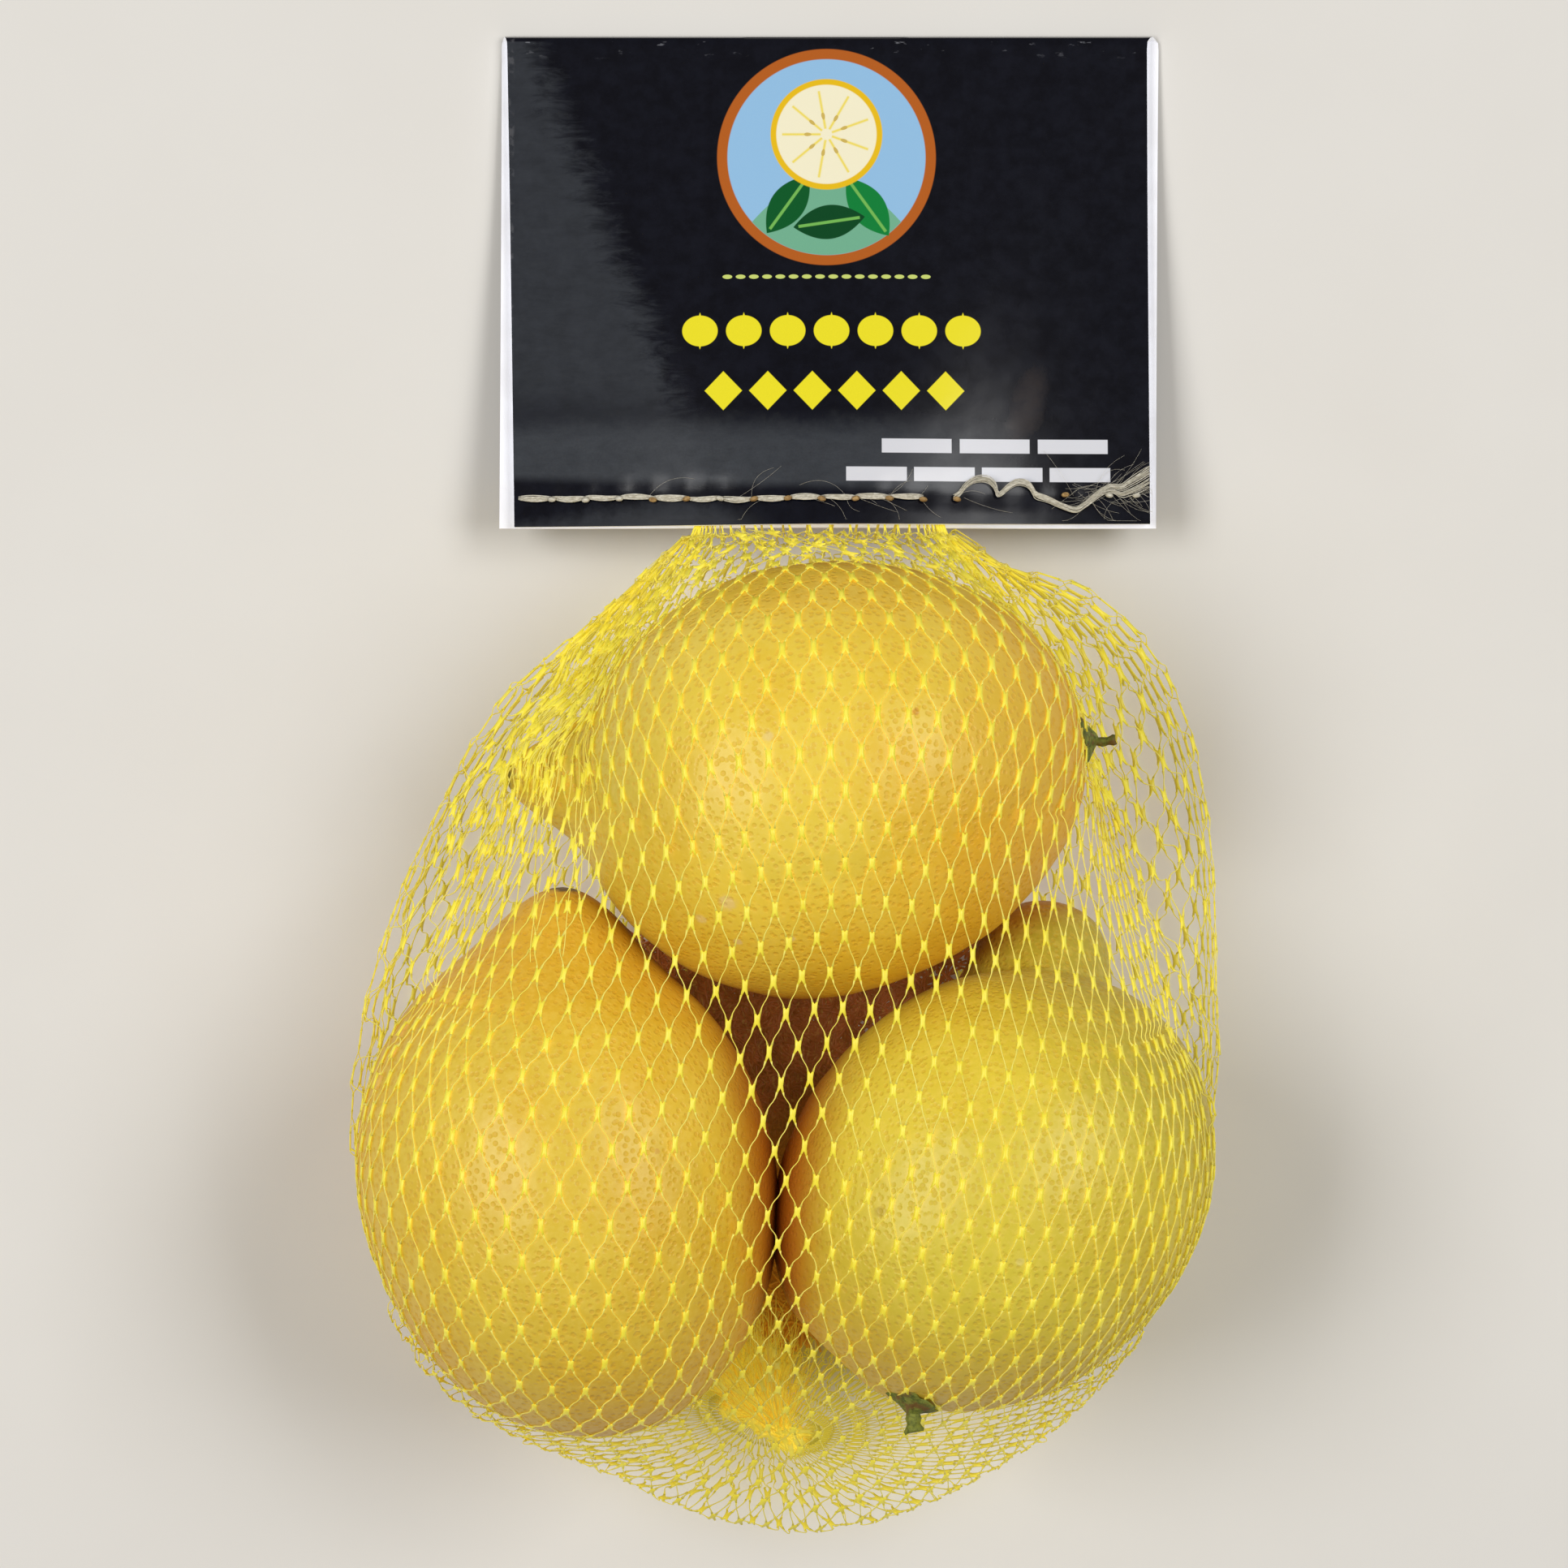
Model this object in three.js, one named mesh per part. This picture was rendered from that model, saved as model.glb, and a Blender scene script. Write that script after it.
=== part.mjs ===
// Net of lemons: a soft plastic net bag with three lemons in it, closed by a folded header card
// that is sewn across the bag's neck.
//
// Millimetres. The bag lies on its back on the floor, z = 0, with its front facing +Z.
// +Y runs along the bag towards the card's fold, +X is to the right as seen from above.
// The origin is the middle of the bottom face of the whole part's bounding box.
import * as THREE from 'three';

// ---------------------------------------------------------------- driving dimensions
const CENTRING = [-0.2, 0.0];     // moves the finished part so that its box is centred on the origin

// A lemon has unequal halves along its axis, a nipple at one end and its stem at the other.
// Angles of the nipple's spread are in degrees.
const LEMONS = [
  {                               // lies across the bag, nipple to the left
    at: [4.2, 0.5, 33.2], round: 32.7, nippleHalf: 35.7, stemHalf: 42.2,
    axis: [-0.978, -0.208, 0.0], nipple: [-1.0, 0.013, 0.02], nippleRise: 10.8, nippleSpread: 10.5,
  },
  {                               // lower left, nipple towards the card
    at: [-32.6, -59.9, 32.1], round: 31.6, nippleHalf: 37.3, stemHalf: 39.2,
    axis: [-0.242, 0.970, 0.0], nipple: [-0.008, 1.0, 0.03], nippleRise: 7.7, nippleSpread: 15.5,
  },
  {                               // lower right, nipple turned down to the floor
    at: [31.6, -61.1, 31.4], round: 30.8, nippleHalf: 36.1, stemHalf: 36.1,
    axis: [0.707, 0.707, 0.0], nipple: [0.216, 0.976, -0.30], nippleRise: 11.0, nippleSpread: 15.0,
  },
];

// The net's two side edges and its foot, from the neck down: [y, x, z].
const LEFT_EDGE = [
  [39.2, -13.8, 15], [25.8, -27.7, 26], [12.5, -43.0, 28], [-4.2, -52.6, 27], [-20, -59.7, 27],
  [-36, -64.0, 30], [-52, -65.7, 32], [-68, -63.4, 32], [-84, -58.0, 30], [-94, -50.2, 24],
  [-101, -39.5, 16], [-107, -26.0, 10], [-113.4, -12.1, 7],
];
const RIGHT_EDGE = [
  [39.2, 24.8, 15], [35.5, 26.4, 19], [33.0, 33.5, 20], [30.5, 45.0, 19], [23.1, 54.1, 17],
  [11, 61.3, 16], [-8, 65.3, 17], [-30, 66.1, 20], [-48, 65.5, 27], [-64, 62.3, 30],
  [-80, 56.5, 28], [-93, 47.8, 20], [-104, 35.5, 11], [-113, 18.5, 7],
];
const FOOT = { y: -115.9, x: 4.3, z: 6.0 };
const NET_THICKNESS = 0.45;
const LEAST_FILM = 0.9;           // front and back of the empty net never come closer than this
const FRONT_SLACK = 0.02;         // how far the front sags, and the loose back drops, at each pass
const BACK_SLACK = 0.8;
const VALLEY_SLACK = 9;           // between the three lemons the net gives way, and their sides show
const VALLEY_MARGIN = [-7, 3];    // how far inside the triangle of their middles that begins, and is full
const VALLEY_FLOOR = 9;
const CREVICE = { x: -0.9, from: -56, to: -90 };      // it goes on between the two lower lemons
const CREVICE_REACH = [10, 4];
const FILM_PASSES = 900;
const OVERSHOOT = 1.5;            // each pass moves a point this much of its way, so that they settle sooner
const FOOT_RISE = 0.45;           // the last loop stands at this share of the one before it
const ACROSS = 28;                // steps across the front, and across the back
const EDGE_CROWDING = 0.55;       // how much closer together those steps are towards the side edges
const ALONG = 46;                 // steps from the neck to the foot
const CARD_MOUTH_Y = 39.0;        // above this the net is flattened between the card's panels
const NECK_ROWS = [52.0, 47.0, 42.0, 39.2];
const BODY_TOP_Y = 37.9;
const NECK_HALF_THICKNESS = 1.1;

// Header card: one sheet, folded at its far end. The front panel is a little narrower and askew.
const FOLD_Y = 116.4, CARD_DROP = 76.7, BOARD = 0.45, FOLD_GAP = 0.55;
const BACK_LEFT = -44.0, BACK_RIGHT = 58.4, BACK_TAPER = 0.9;
const FRONT_LEFT_TOP = -43.1, FRONT_LEFT_LOW = -41.6, FRONT_RIGHT = 56.5;
const BACK_LOW_Y = -0.25, FRONT_LOW_Y = -0.1, FRONT_SKEW_Y = 0.5;
const CARD_LIFT = 8.6;            // the sewn end is held up by the neck of the net
const NECK_LIFT = 5.6, NECK_GAP = 1.2, NECK_X = 6.0, NECK_SPREAD = 24;
const CARD_COLUMNS = 18, CARD_ROWS = 9;
const FOLD_ANGLES = [-60, -30, 0, 30, 60];

// Sewing thread on the card's face.
const THREAD_RADIUS = 0.42, THREAD_CLEARANCE = 0.3, STITCH_PITCH = 5.2;
const SEAM_Y = 44.1, SEAM_FROM = -41.0, SEAM_TO = 26.5;
const LOOSE_END = [
  [27.5, 44.2], [29.2, 45.2], [31.0, 46.5], [33.0, 46.7], [34.6, 45.4], [36.4, 46.6], [38.6, 46.8],
  [40.6, 45.0], [44.0, 42.6], [47.4, 43.8], [50.4, 45.6], [53.4, 46.5], [56.0, 46.8],
];

// ---------------------------------------------------------------- helpers
const clamp = (x, low, high) => Math.min(high, Math.max(low, x));
const mix = (a, b, t) => a + (b - a) * t;

function smooth(from, to, x) {
  const t = clamp((x - from) / (to - from), 0, 1);
  return t * t * (3 - 2 * t);
}

function dot(a, b) {
  return a[0] * b[0] + a[1] * b[1] + a[2] * b[2];
}

function unit(v) {
  const length = Math.hypot(...v);
  return v.map((c) => c / length);
}

// A closed mesh over loops of points that follow one another. The end loops are closed by strips
// that join each point to its partner across the loop.
function loft(loops) {
  const count = loops[0].length;
  const index = [];
  for (let row = 0; row < loops.length - 1; row++) {
    for (let i = 0; i < count; i++) {
      const a = row * count + i;
      const b = row * count + (i + 1) % count;
      index.push(a, b, b + count, a, b + count, a + count);
    }
  }
  const last = (loops.length - 1) * count;
  for (let i = 0; i < count / 2 - 1; i++) {
    const [a, b, c, d] = [i, i + 1, count - 2 - i, count - 1 - i];
    for (const [p, q, r] of [[a, b, c], [a, c, d]]) {
      index.push(p, r, q, last + p, last + q, last + r);
    }
  }
  const geometry = new THREE.BufferGeometry();
  geometry.setAttribute('position', new THREE.Float32BufferAttribute(loops.flat(2), 3));
  geometry.setIndex(index);
  geometry.computeVertexNormals();
  return geometry;
}

// ---------------------------------------------------------------- lemons inside the net
// Distance from a lemon's middle to its skin in the direction d.
function lemonReach(lemon, d) {
  const along = dot(d, unit(lemon.axis));
  const half = along > 0 ? lemon.nippleHalf : lemon.stemHalf;
  const across = Math.sqrt(Math.max(0, 1 - along * along));
  const body = 1 / Math.hypot(along / half, across / lemon.round);
  const away = THREE.MathUtils.radToDeg(Math.acos(clamp(dot(d, unit(lemon.nipple)), -1, 1)));
  return body + lemon.nippleRise * Math.exp(-((away / lemon.nippleSpread) ** 2));
}

// Height of a lemon's skin at (x, y), its top for side = 1 and its underside for side = -1.
// Gives null where the lemon isn't.
function lemonHeight(lemon, x, y, side) {
  const dx = x - lemon.at[0];
  const dy = y - lemon.at[1];
  const within = (z) => {
    const r = Math.hypot(dx, dy, z) || 1e-9;
    return r < lemonReach(lemon, [dx / r, dy / r, z / r]);
  };
  let inside = [0, 4, -4, 9, -9, 14, -14].find(within);
  if (inside === undefined) return null;
  let outside = side * 50;
  for (let step = 0; step < 30; step++) {
    const middle = (inside + outside) / 2;
    if (within(middle)) inside = middle;
    else outside = middle;
  }
  return lemon.at[2] + inside;
}

function fruitTop(x, y) {
  const tops = LEMONS.map((lemon) => lemonHeight(lemon, x, y, 1)).filter((z) => z !== null);
  return tops.length ? Math.max(...tops) : 0;
}

function fruitUnderside(x, y) {
  const bottoms = LEMONS.map((lemon) => lemonHeight(lemon, x, y, -1)).filter((z) => z !== null);
  return bottoms.length ? Math.min(...bottoms) : Infinity;
}

// How far (x, y) lies inside the triangle of the lemons' middles. Negative outside.
function betweenLemons(x, y) {
  const distances = LEMONS.map((lemon, k) => {
    const next = LEMONS[(k + 1) % LEMONS.length];
    const [dx, dy] = [next.at[0] - lemon.at[0], next.at[1] - lemon.at[1]];
    return (dx * (y - lemon.at[1]) - dy * (x - lemon.at[0])) / Math.hypot(dx, dy);
  });
  return Math.min(...distances);
}

// 1 where the net gives way between the lemons, 0 where it is held up.
function valleyAt(x, y) {
  const crevice = Math.hypot(x - CREVICE.x, y - clamp(y, CREVICE.to, CREVICE.from));
  return Math.max(smooth(...VALLEY_MARGIN, betweenLemons(x, y)), smooth(...CREVICE_REACH, crevice));
}

// ---------------------------------------------------------------- net bag
// x and z of an edge at the height y, on a smooth curve through the edge's rows. Below its last row
// the edge runs round to the foot.
function edgeAt(rows, y) {
  const last = rows[rows.length - 1];
  if (y >= rows[0][0]) return [rows[0][1], rows[0][2]];
  if (y <= last[0]) {
    const t = clamp((last[0] - y) / (last[0] - FOOT.y), 0, 1);
    const round = 0.35 * t + 0.65 * (1 - Math.sqrt(1 - t * t));
    return [mix(last[1], FOOT.x, round), mix(last[2], FOOT.z, t)];
  }
  const i = rows.findIndex((row, k) => k > 0 && y >= row[0]) - 1;
  const [before, from, to] = [rows[Math.max(0, i - 1)], rows[i], rows[i + 1]];
  const after = rows[Math.min(rows.length - 1, i + 2)];
  const span = from[0] - to[0];
  const t = (from[0] - y) / span;
  return [1, 2].map((k) => {
    const slopeFrom = (to[k] - before[k]) / (before[0] - to[0]) * span;
    const slopeTo = (after[k] - from[k]) / (from[0] - after[0]) * span;
    const t2 = t * t;
    const t3 = t2 * t;
    return (2 * t3 - 3 * t2 + 1) * from[k] + (t3 - 2 * t2 + t) * slopeFrom
      + (3 * t2 - 2 * t3) * to[k] + (t3 - t2) * slopeTo;
  });
}

// One loop round the net at y: from the right edge over the front to the left edge, and back below.
function netLoop(y) {
  const [rightX, rightZ] = edgeAt(RIGHT_EDGE, y);
  const [leftX, leftZ] = edgeAt(LEFT_EDGE, y);
  const loop = [];
  for (let i = 0; i < 2 * ACROSS; i++) {
    const angle = Math.PI * i / ACROSS;
    const even = 1 - Math.abs(1 - i / ACROSS);
    const share = mix(even, (1 - Math.cos(angle)) / 2, EDGE_CROWDING);
    const side = i % ACROSS === 0 ? 0 : Math.sign(ACROSS - i);
    const point = { x: mix(rightX, leftX, share), y, z: mix(rightZ, leftZ, share), low: 0, high: Infinity };
    const valley = side > 0 ? valleyAt(point.x, y) : 0;
    point.slack = mix(side > 0 ? FRONT_SLACK : BACK_SLACK, VALLEY_SLACK, valley);
    point.fixed = side === 0;
    if (y > CARD_MOUTH_Y) {
      point.fixed = true;
      const full = Math.min(1, 3 * Math.abs(Math.sin(angle)));
      point.z = cardMiddle(point.x, y) + side * NECK_HALF_THICKNESS * full;
    } else if (side > 0) {
      const least = mix(2 * LEAST_FILM, VALLEY_FLOOR, valley);
      point.low = Math.max(fruitTop(point.x, y) + NET_THICKNESS, least);
      point.z = Math.max(point.z, point.low);
    } else if (side < 0) {
      point.high = Math.max(0, fruitUnderside(point.x, y) - NET_THICKNESS);
      point.z = Math.min(point.z, point.high);
    }
    loop.push(point);
  }
  return loop;
}

// Draws the net tight over the fruit: each free point goes to the mean of its neighbours, less its
// slack, and never into the fruit or the floor.
function tighten(loops) {
  const count = 2 * ACROSS;
  const closeness = (p, q) => 1 / Math.max(0.35, Math.hypot(p.x - q.x, p.y - q.y));
  for (let pass = 0; pass < FILM_PASSES; pass++) {
    for (let row = 1; row < loops.length - 1; row++) {
      for (let i = 0; i < count; i++) {
        const p = loops[row][i];
        if (p.fixed) continue;
        const loop = loops[row];
        const beside = [loop[(i + 1) % count], loop[(i + count - 1) % count]];
        const near = [...beside, loops[row - 1][i], loops[row + 1][i]];
        const weights = near.map((q) => closeness(p, q));
        const total = weights.reduce((a, b) => a + b);
        const mean = near.reduce((sum, q, k) => sum + weights[k] * q.z, 0) / total;
        p.z = clamp(p.z + OVERSHOOT * (mean - p.slack - p.z), p.low, p.high);
      }
    }
    const foot = loops[loops.length - 1];
    const above = loops[loops.length - 2];
    foot.forEach((p, i) => {
      if (!p.fixed) p.z = mix(FOOT.z, above[i].z, FOOT_RISE);
    });
  }
}

function netBag() {
  const ys = [...NECK_ROWS];
  for (let step = 0; step <= ALONG; step++) {
    const t = step / ALONG;
    const eased = 0.35 * t + 0.65 * (1 - Math.cos(Math.PI * t)) / 2;
    ys.push(mix(BODY_TOP_Y, FOOT.y + 0.35, eased));
  }
  const loops = ys.map(netLoop);
  tighten(loops);
  for (const loop of loops) {
    for (let i = 1; i < ACROSS; i++) {
      const front = loop[i];
      const back = loop[2 * ACROSS - i];
      if (!back.fixed && back.z < 0.25) back.z = 0;
      front.z = Math.max(front.z, back.z + LEAST_FILM);
    }
  }
  return loft(loops.map((loop) => loop.map((p) => [p.x, p.y, p.z])));
}

// ---------------------------------------------------------------- header card
const down = (y) => Math.max(0, (FOLD_Y - y) / CARD_DROP);
const overNeck = (x) => Math.exp(-(((x - NECK_X) / NECK_SPREAD) ** 2));

// Height of the surface midway between the card's two panels.
function cardMiddle(x, y) {
  return BOARD + FOLD_GAP + (CARD_LIFT + NECK_LIFT * overNeck(x)) * down(y) ** 1.5;
}

// Half the gap between the panels.
function cardGap(x, y) {
  return FOLD_GAP + NECK_GAP * smooth(0.42, 0.80, down(y)) * Math.sqrt(overNeck(x));
}

// Outer and inner point of the sheet. place runs from 0 to 1 across the card.
function foldPoints(angle, place) {
  const turned = (angle / 90 + 1) / 2;
  const left = mix(BACK_LEFT, FRONT_LEFT_TOP, turned);
  const right = mix(BACK_RIGHT, FRONT_RIGHT, turned);
  const x = mix(left, right, place);
  const bendY = FOLD_Y - BOARD - FOLD_GAP;
  const a = THREE.MathUtils.degToRad(angle);
  return [FOLD_GAP + BOARD, FOLD_GAP].map((r) => {
    return [x, bendY + r * Math.cos(a), cardMiddle(x, bendY) + r * Math.sin(a)];
  });
}

function panelPoints(side, v, place) {
  const front = side > 0;
  const bendY = FOLD_Y - BOARD - FOLD_GAP;
  const lowY = FOLD_Y - CARD_DROP + (front ? FRONT_LOW_Y + FRONT_SKEW_Y * place : BACK_LOW_Y);
  const y = mix(bendY, lowY, v);
  const left = front ? mix(FRONT_LEFT_TOP, FRONT_LEFT_LOW, v) : BACK_LEFT;
  const right = front ? FRONT_RIGHT : BACK_RIGHT - BACK_TAPER * v;
  const x = mix(left, right, place);
  const gap = cardGap(x, y);
  return [gap + BOARD, gap].map((r) => [x, y, cardMiddle(x, y) + side * r]);
}

function headerCard() {
  const loops = [];
  for (let column = 0; column < CARD_COLUMNS; column++) {
    const place = column / (CARD_COLUMNS - 1);
    const sheet = [];
    for (let row = CARD_ROWS; row >= 0; row--) sheet.push(panelPoints(-1, row / CARD_ROWS, place));
    for (const angle of FOLD_ANGLES) sheet.push(foldPoints(angle, place));
    for (let row = 0; row <= CARD_ROWS; row++) sheet.push(panelPoints(1, row / CARD_ROWS, place));
    const outside = sheet.map((pair) => pair[0]);
    const inside = sheet.map((pair) => pair[1]).reverse();
    loops.push([...outside, ...inside]);
  }
  return loft(loops);
}

// ---------------------------------------------------------------- sewing thread
function seamThread() {
  const points = [];
  const lay = (x, y, rise) => {
    const face = cardMiddle(x, y) + cardGap(x, y) + BOARD;
    points.push(new THREE.Vector3(x, y, face + THREAD_CLEARANCE + THREAD_RADIUS + rise));
  };
  const halfStitch = STITCH_PITCH / 2;
  for (let k = 0; SEAM_FROM + k * halfStitch < SEAM_TO; k++) {
    lay(SEAM_FROM + k * halfStitch, SEAM_Y + 0.15 * Math.sin(0.7 * k), k % 2 ? 0.45 : 0.1);
  }
  LOOSE_END.forEach(([x, y], k) => lay(x, y, 0.3 + 0.5 * Math.sin(1.3 * k) ** 2));
  const route = new THREE.CatmullRomCurve3(points, false, 'centripetal');
  const section = new THREE.Shape();
  for (let corner = 0; corner < 6; corner++) {
    const a = Math.PI * corner / 3;
    section[corner ? 'lineTo' : 'moveTo'](THREAD_RADIUS * Math.cos(a), THREAD_RADIUS * Math.sin(a));
  }
  return new THREE.ExtrudeGeometry(section, { steps: 110, extrudePath: route, bevelEnabled: false });
}

// ---------------------------------------------------------------- the part
const part = new THREE.Group();
part.name = 'net_of_lemons';
part.position.set(CENTRING[0], CENTRING[1], 0);

function add(name, geometry, color, roughness) {
  const mesh = new THREE.Mesh(geometry, new THREE.MeshStandardMaterial({ color, roughness, metalness: 0 }));
  mesh.name = name;
  part.add(mesh);
}

add('net_bag', netBag(), 0xe8cc3c, 0.45);
add('header_card', headerCard(), 0x14141b, 0.3);
add('seam_thread', seamThread(), 0xd9d6cc, 0.7);

export default part;
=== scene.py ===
"""Three lemons in a knotted plastic net bag, closed by a folded header card that is sewn across its neck.

Lengths are millimetres until a mesh, a lamp or the camera is made, and metres there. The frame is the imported
solids' own: +Y from the foot of the bag to the card's fold, +Z up from the floor.
"""
import math

import bpy
import numpy as np
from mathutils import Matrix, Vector


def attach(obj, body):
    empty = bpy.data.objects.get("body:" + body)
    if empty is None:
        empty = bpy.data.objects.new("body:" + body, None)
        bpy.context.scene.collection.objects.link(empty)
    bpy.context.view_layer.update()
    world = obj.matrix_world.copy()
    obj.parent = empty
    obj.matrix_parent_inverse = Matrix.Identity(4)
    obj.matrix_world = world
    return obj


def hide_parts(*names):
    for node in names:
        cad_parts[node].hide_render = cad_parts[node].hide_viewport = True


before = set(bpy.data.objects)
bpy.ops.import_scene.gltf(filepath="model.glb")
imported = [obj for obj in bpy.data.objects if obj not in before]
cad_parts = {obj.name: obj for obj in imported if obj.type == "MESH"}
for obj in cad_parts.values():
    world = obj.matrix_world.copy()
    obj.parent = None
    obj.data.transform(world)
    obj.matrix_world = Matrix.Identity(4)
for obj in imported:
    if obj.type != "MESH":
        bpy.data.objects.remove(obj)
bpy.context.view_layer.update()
bpy.ops.object.select_all(action="DESELECT")

MM = 0.001
SHIFT = np.array([-0.2, 0.0, 0.0])      # the solids are centred by this much
FULL_TURN = 2 * math.pi

# ------------------------------------------------------------------------------------------------ sizes
# A fruit is an ellipsoid with a nipple. Half its width is called round, and its two halves differ in length.
# The nipple's spread is in degrees, steep makes it blunt, dimple is the dip at the stem, and crease is a ring
# round the nipple.
FRUIT = {
    "across": dict(at=(4.2, 0.5, 33.2), round=32.7, nipple_half=35.7, stem_half=42.2,
                   axis=(-0.978, -0.208, 0.0), nipple=(-1.0, 0.013, 0.02),
                   rise=10.8, spread=10.5, steep=2, dimple=0.6),
    "left": dict(at=(-32.6, -59.9, 32.1), round=31.6, nipple_half=37.3, stem_half=39.2,
                 axis=(-0.242, 0.970, 0.0), nipple=(-0.008, 1.0, 0.03),
                 rise=7.7, spread=15.5, steep=2, dimple=0.0),
    "right": dict(at=(31.6, -61.1, 31.4), round=30.8, nipple_half=36.1, stem_half=36.1,
                  axis=(0.707, 0.707, 0.0), nipple=(0.216, 0.976, -0.45),
                  rise=12.6, spread=17.0, steep=4, dimple=2.4, crease=0.9),
}
STEM_AT = {"across": (39.8, 5.9, 0.0), "right": (-11.8, -30.6, 8.5)}      # from the fruit's middle

# The bag's two side edges and its foot: y, x, z.
LEFT_EDGE = [
    (39.2, -13.8, 15), (25.8, -27.7, 26), (12.5, -43.0, 28), (-4.2, -52.6, 27), (-20, -59.7, 27),
    (-36, -64.0, 30), (-52, -65.7, 32), (-68, -63.4, 32), (-84, -58.0, 30), (-94, -50.2, 24),
    (-101, -39.5, 16), (-107, -26.0, 10), (-113.4, -12.1, 7),
]
RIGHT_EDGE = [
    (39.2, 24.8, 15), (35.5, 26.4, 19), (33.0, 33.5, 20), (30.5, 45.0, 19), (23.1, 54.1, 17),
    (11, 61.3, 16), (-8, 65.3, 17), (-30, 66.1, 20), (-48, 65.5, 27), (-64, 62.3, 30),
    (-80, 56.5, 28), (-93, 47.8, 20), (-104, 35.5, 11), (-113, 18.5, 7),
]
FOOT = (-115.9, 4.3, 6.0)

COLUMNS, LEFT_COLUMN, ROWS = 78, 43, 45      # columns of knots round the bag; column 0 is on the right edge
STRAND = 6.2                                 # longest run between two knots
ROW_ON_RIGHT, ROW_ON_LEFT = 5.14, 5.22       # a row's length along each side edge
RIGHT_LEAVES, LEFT_LEAVES = 26, 24           # rows at which the edge columns leave the side edges
FOOT_ROW = 39.2                              # the row that runs along the foot
GATHER = np.array([-2.7, -99.3, 1.8])        # where the net is drawn together under the fruit
GATHER_HALF, GATHER_THICK = 5.4, 1.1
GATHER_ALONG, GATHER_ACROSS = np.array([0.88, -0.47, 0.0]), np.array([-0.47, -0.88, 0.6])
FIRST_ARCH = 48                              # how high the net lies before it is drawn tight
MOUTH_Y, MOUTH_X, MOUTH_HALF = 39.6, 5.5, 19.2
BUNCH_COLUMNS, BUNCH_ROWS = (9, 16), (4, 14)  # the net is bunched up to these, and free beyond
WIDE_ROWS = (11, 19)                         # below these the meshes on the left are wider than on the right

FOLD_Y, CARD_DROP, BOARD, FOLD_GAP = 116.4, 76.7, 0.45, 0.55
BACK_LEFT, BACK_RIGHT, BACK_TAPER = -44.0, 58.4, 0.9
FRONT_LEFT_TOP, FRONT_LEFT_LOW, FRONT_RIGHT = -43.1, -41.6, 56.5
BACK_LOW_Y, FRONT_LOW_Y, FRONT_SKEW_Y = -0.25, -0.1, 0.5
CARD_LIFT, NECK_LIFT, NECK_GAP, NECK_X, NECK_SPREAD = 8.6, 5.6, 1.2, 6.0, 24.0
SEAM_Y, SEAM_FROM, SEAM_TO, PITCH = 44.1, -41.0, 26.6, 5.2
FRONT_SHARE, FOLD_SHARE = 0.48, 0.04         # the front panel's and the fold's part of the sheet's length

# The print. A mark's reach is from its own middle. In a pair of limits a field starts at the first and is full
# at the second.
INKS = dict(black=(9, 10, 19), grey_black=(15, 17, 28), painted_sheen=(72, 76, 82), smudge=(56, 50, 50),
            wear_glint=(150, 152, 160), edge_grey=(120, 120, 124), rim=(186, 98, 34), sky=(152, 198, 236),
            hill=(118, 182, 150), rib=(120, 190, 90), peel=(240, 196, 30), pith=(252, 246, 214),
            ray=(248, 226, 92), seed=(214, 186, 96), row=(244, 232, 44), dash=(206, 220, 120),
            bar=(222, 224, 232))
MEDALLION, RIM_RADIUS, SKY_RADIUS = (6.6, 97.4), 17.0, 15.4
HILL_DOWN, HILL_BOW = 3.5, 0.05
LEAVES = ((0.95, (-6.0, -7.4), (10, 92, 42)), (-0.95, (6.4, -7.8), (16, 132, 60)),
          (0.15, (0.4, -10.2), (8, 74, 36)))               # lean, middle from the medallion's, colour
LEAF_HALF, LEAF_TAPER, RIB_HALF, RIB_REACH = 2.675, 0.085, 0.23, 4.8
SLICE_UP, PEEL_RADIUS, PITH_RADIUS, RAY_REACH, CORE_RADIUS = 3.6, 8.7, 7.8, 6.9, 0.9
WEDGES, SEED_FROM_CORE, SEED_HALF, SEED_NARROW = 9, 2.9, 1.1, 14
FRUIT_ROW = dict(first=-16.4, last=31.1, count=7, middle=70.1, half_wide=2.75, half_high=2.95)
LOZENGE_ROW = dict(first=-12.8, last=28.4, count=6, middle=60.7, half_wide=2.9, half_high=3.05)
DASH_ROW = dict(first=-9.8, last=23.1, pitch=2.05, middle=78.6, half_wide=0.75, half_high=0.34)
BARS = ((15.0, 52.1, 12.1), (9.5, 47.7, 10.5))             # left end, height on the card, pitch of its blocks
BARS_END, BAR_HALF, BAR_SHARE = 51.1, 1.1, 0.90
# Painted reflection: where a grey sheen lies on the card's gloss, on the left, in a band and low down.
SHEEN_SIDE, SHEEN_SLANT, SHEEN_RISE, SHEEN_MARGIN = (-36.0, -43.0), 0.40, (50.0, 64.0), (-46.0, -40.0)
SHEEN_BAND_TOP, SHEEN_BAND_LOW, SHEEN_BAND_RIGHT = (60.5, 55.0), (45.0, 47.0), (52, 20)
LOW_SHEEN_TOP, LOW_SHEEN_RIGHT, LOW_SHEEN_X = (44.0, 40.5), (4, -6), -18
SMUDGE, SMUDGE_HALF, SMUDGE_LEAN = (37.625, 58.5), (2.6, 6.5), 0.25
# Where the fold's flecks of wear and painted glints lie, and where the left edge turns lighter grey.
WEAR_GLINT_RISE, LIGHT_EDGE_X = (112.5, 115.5), -42.3

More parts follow.
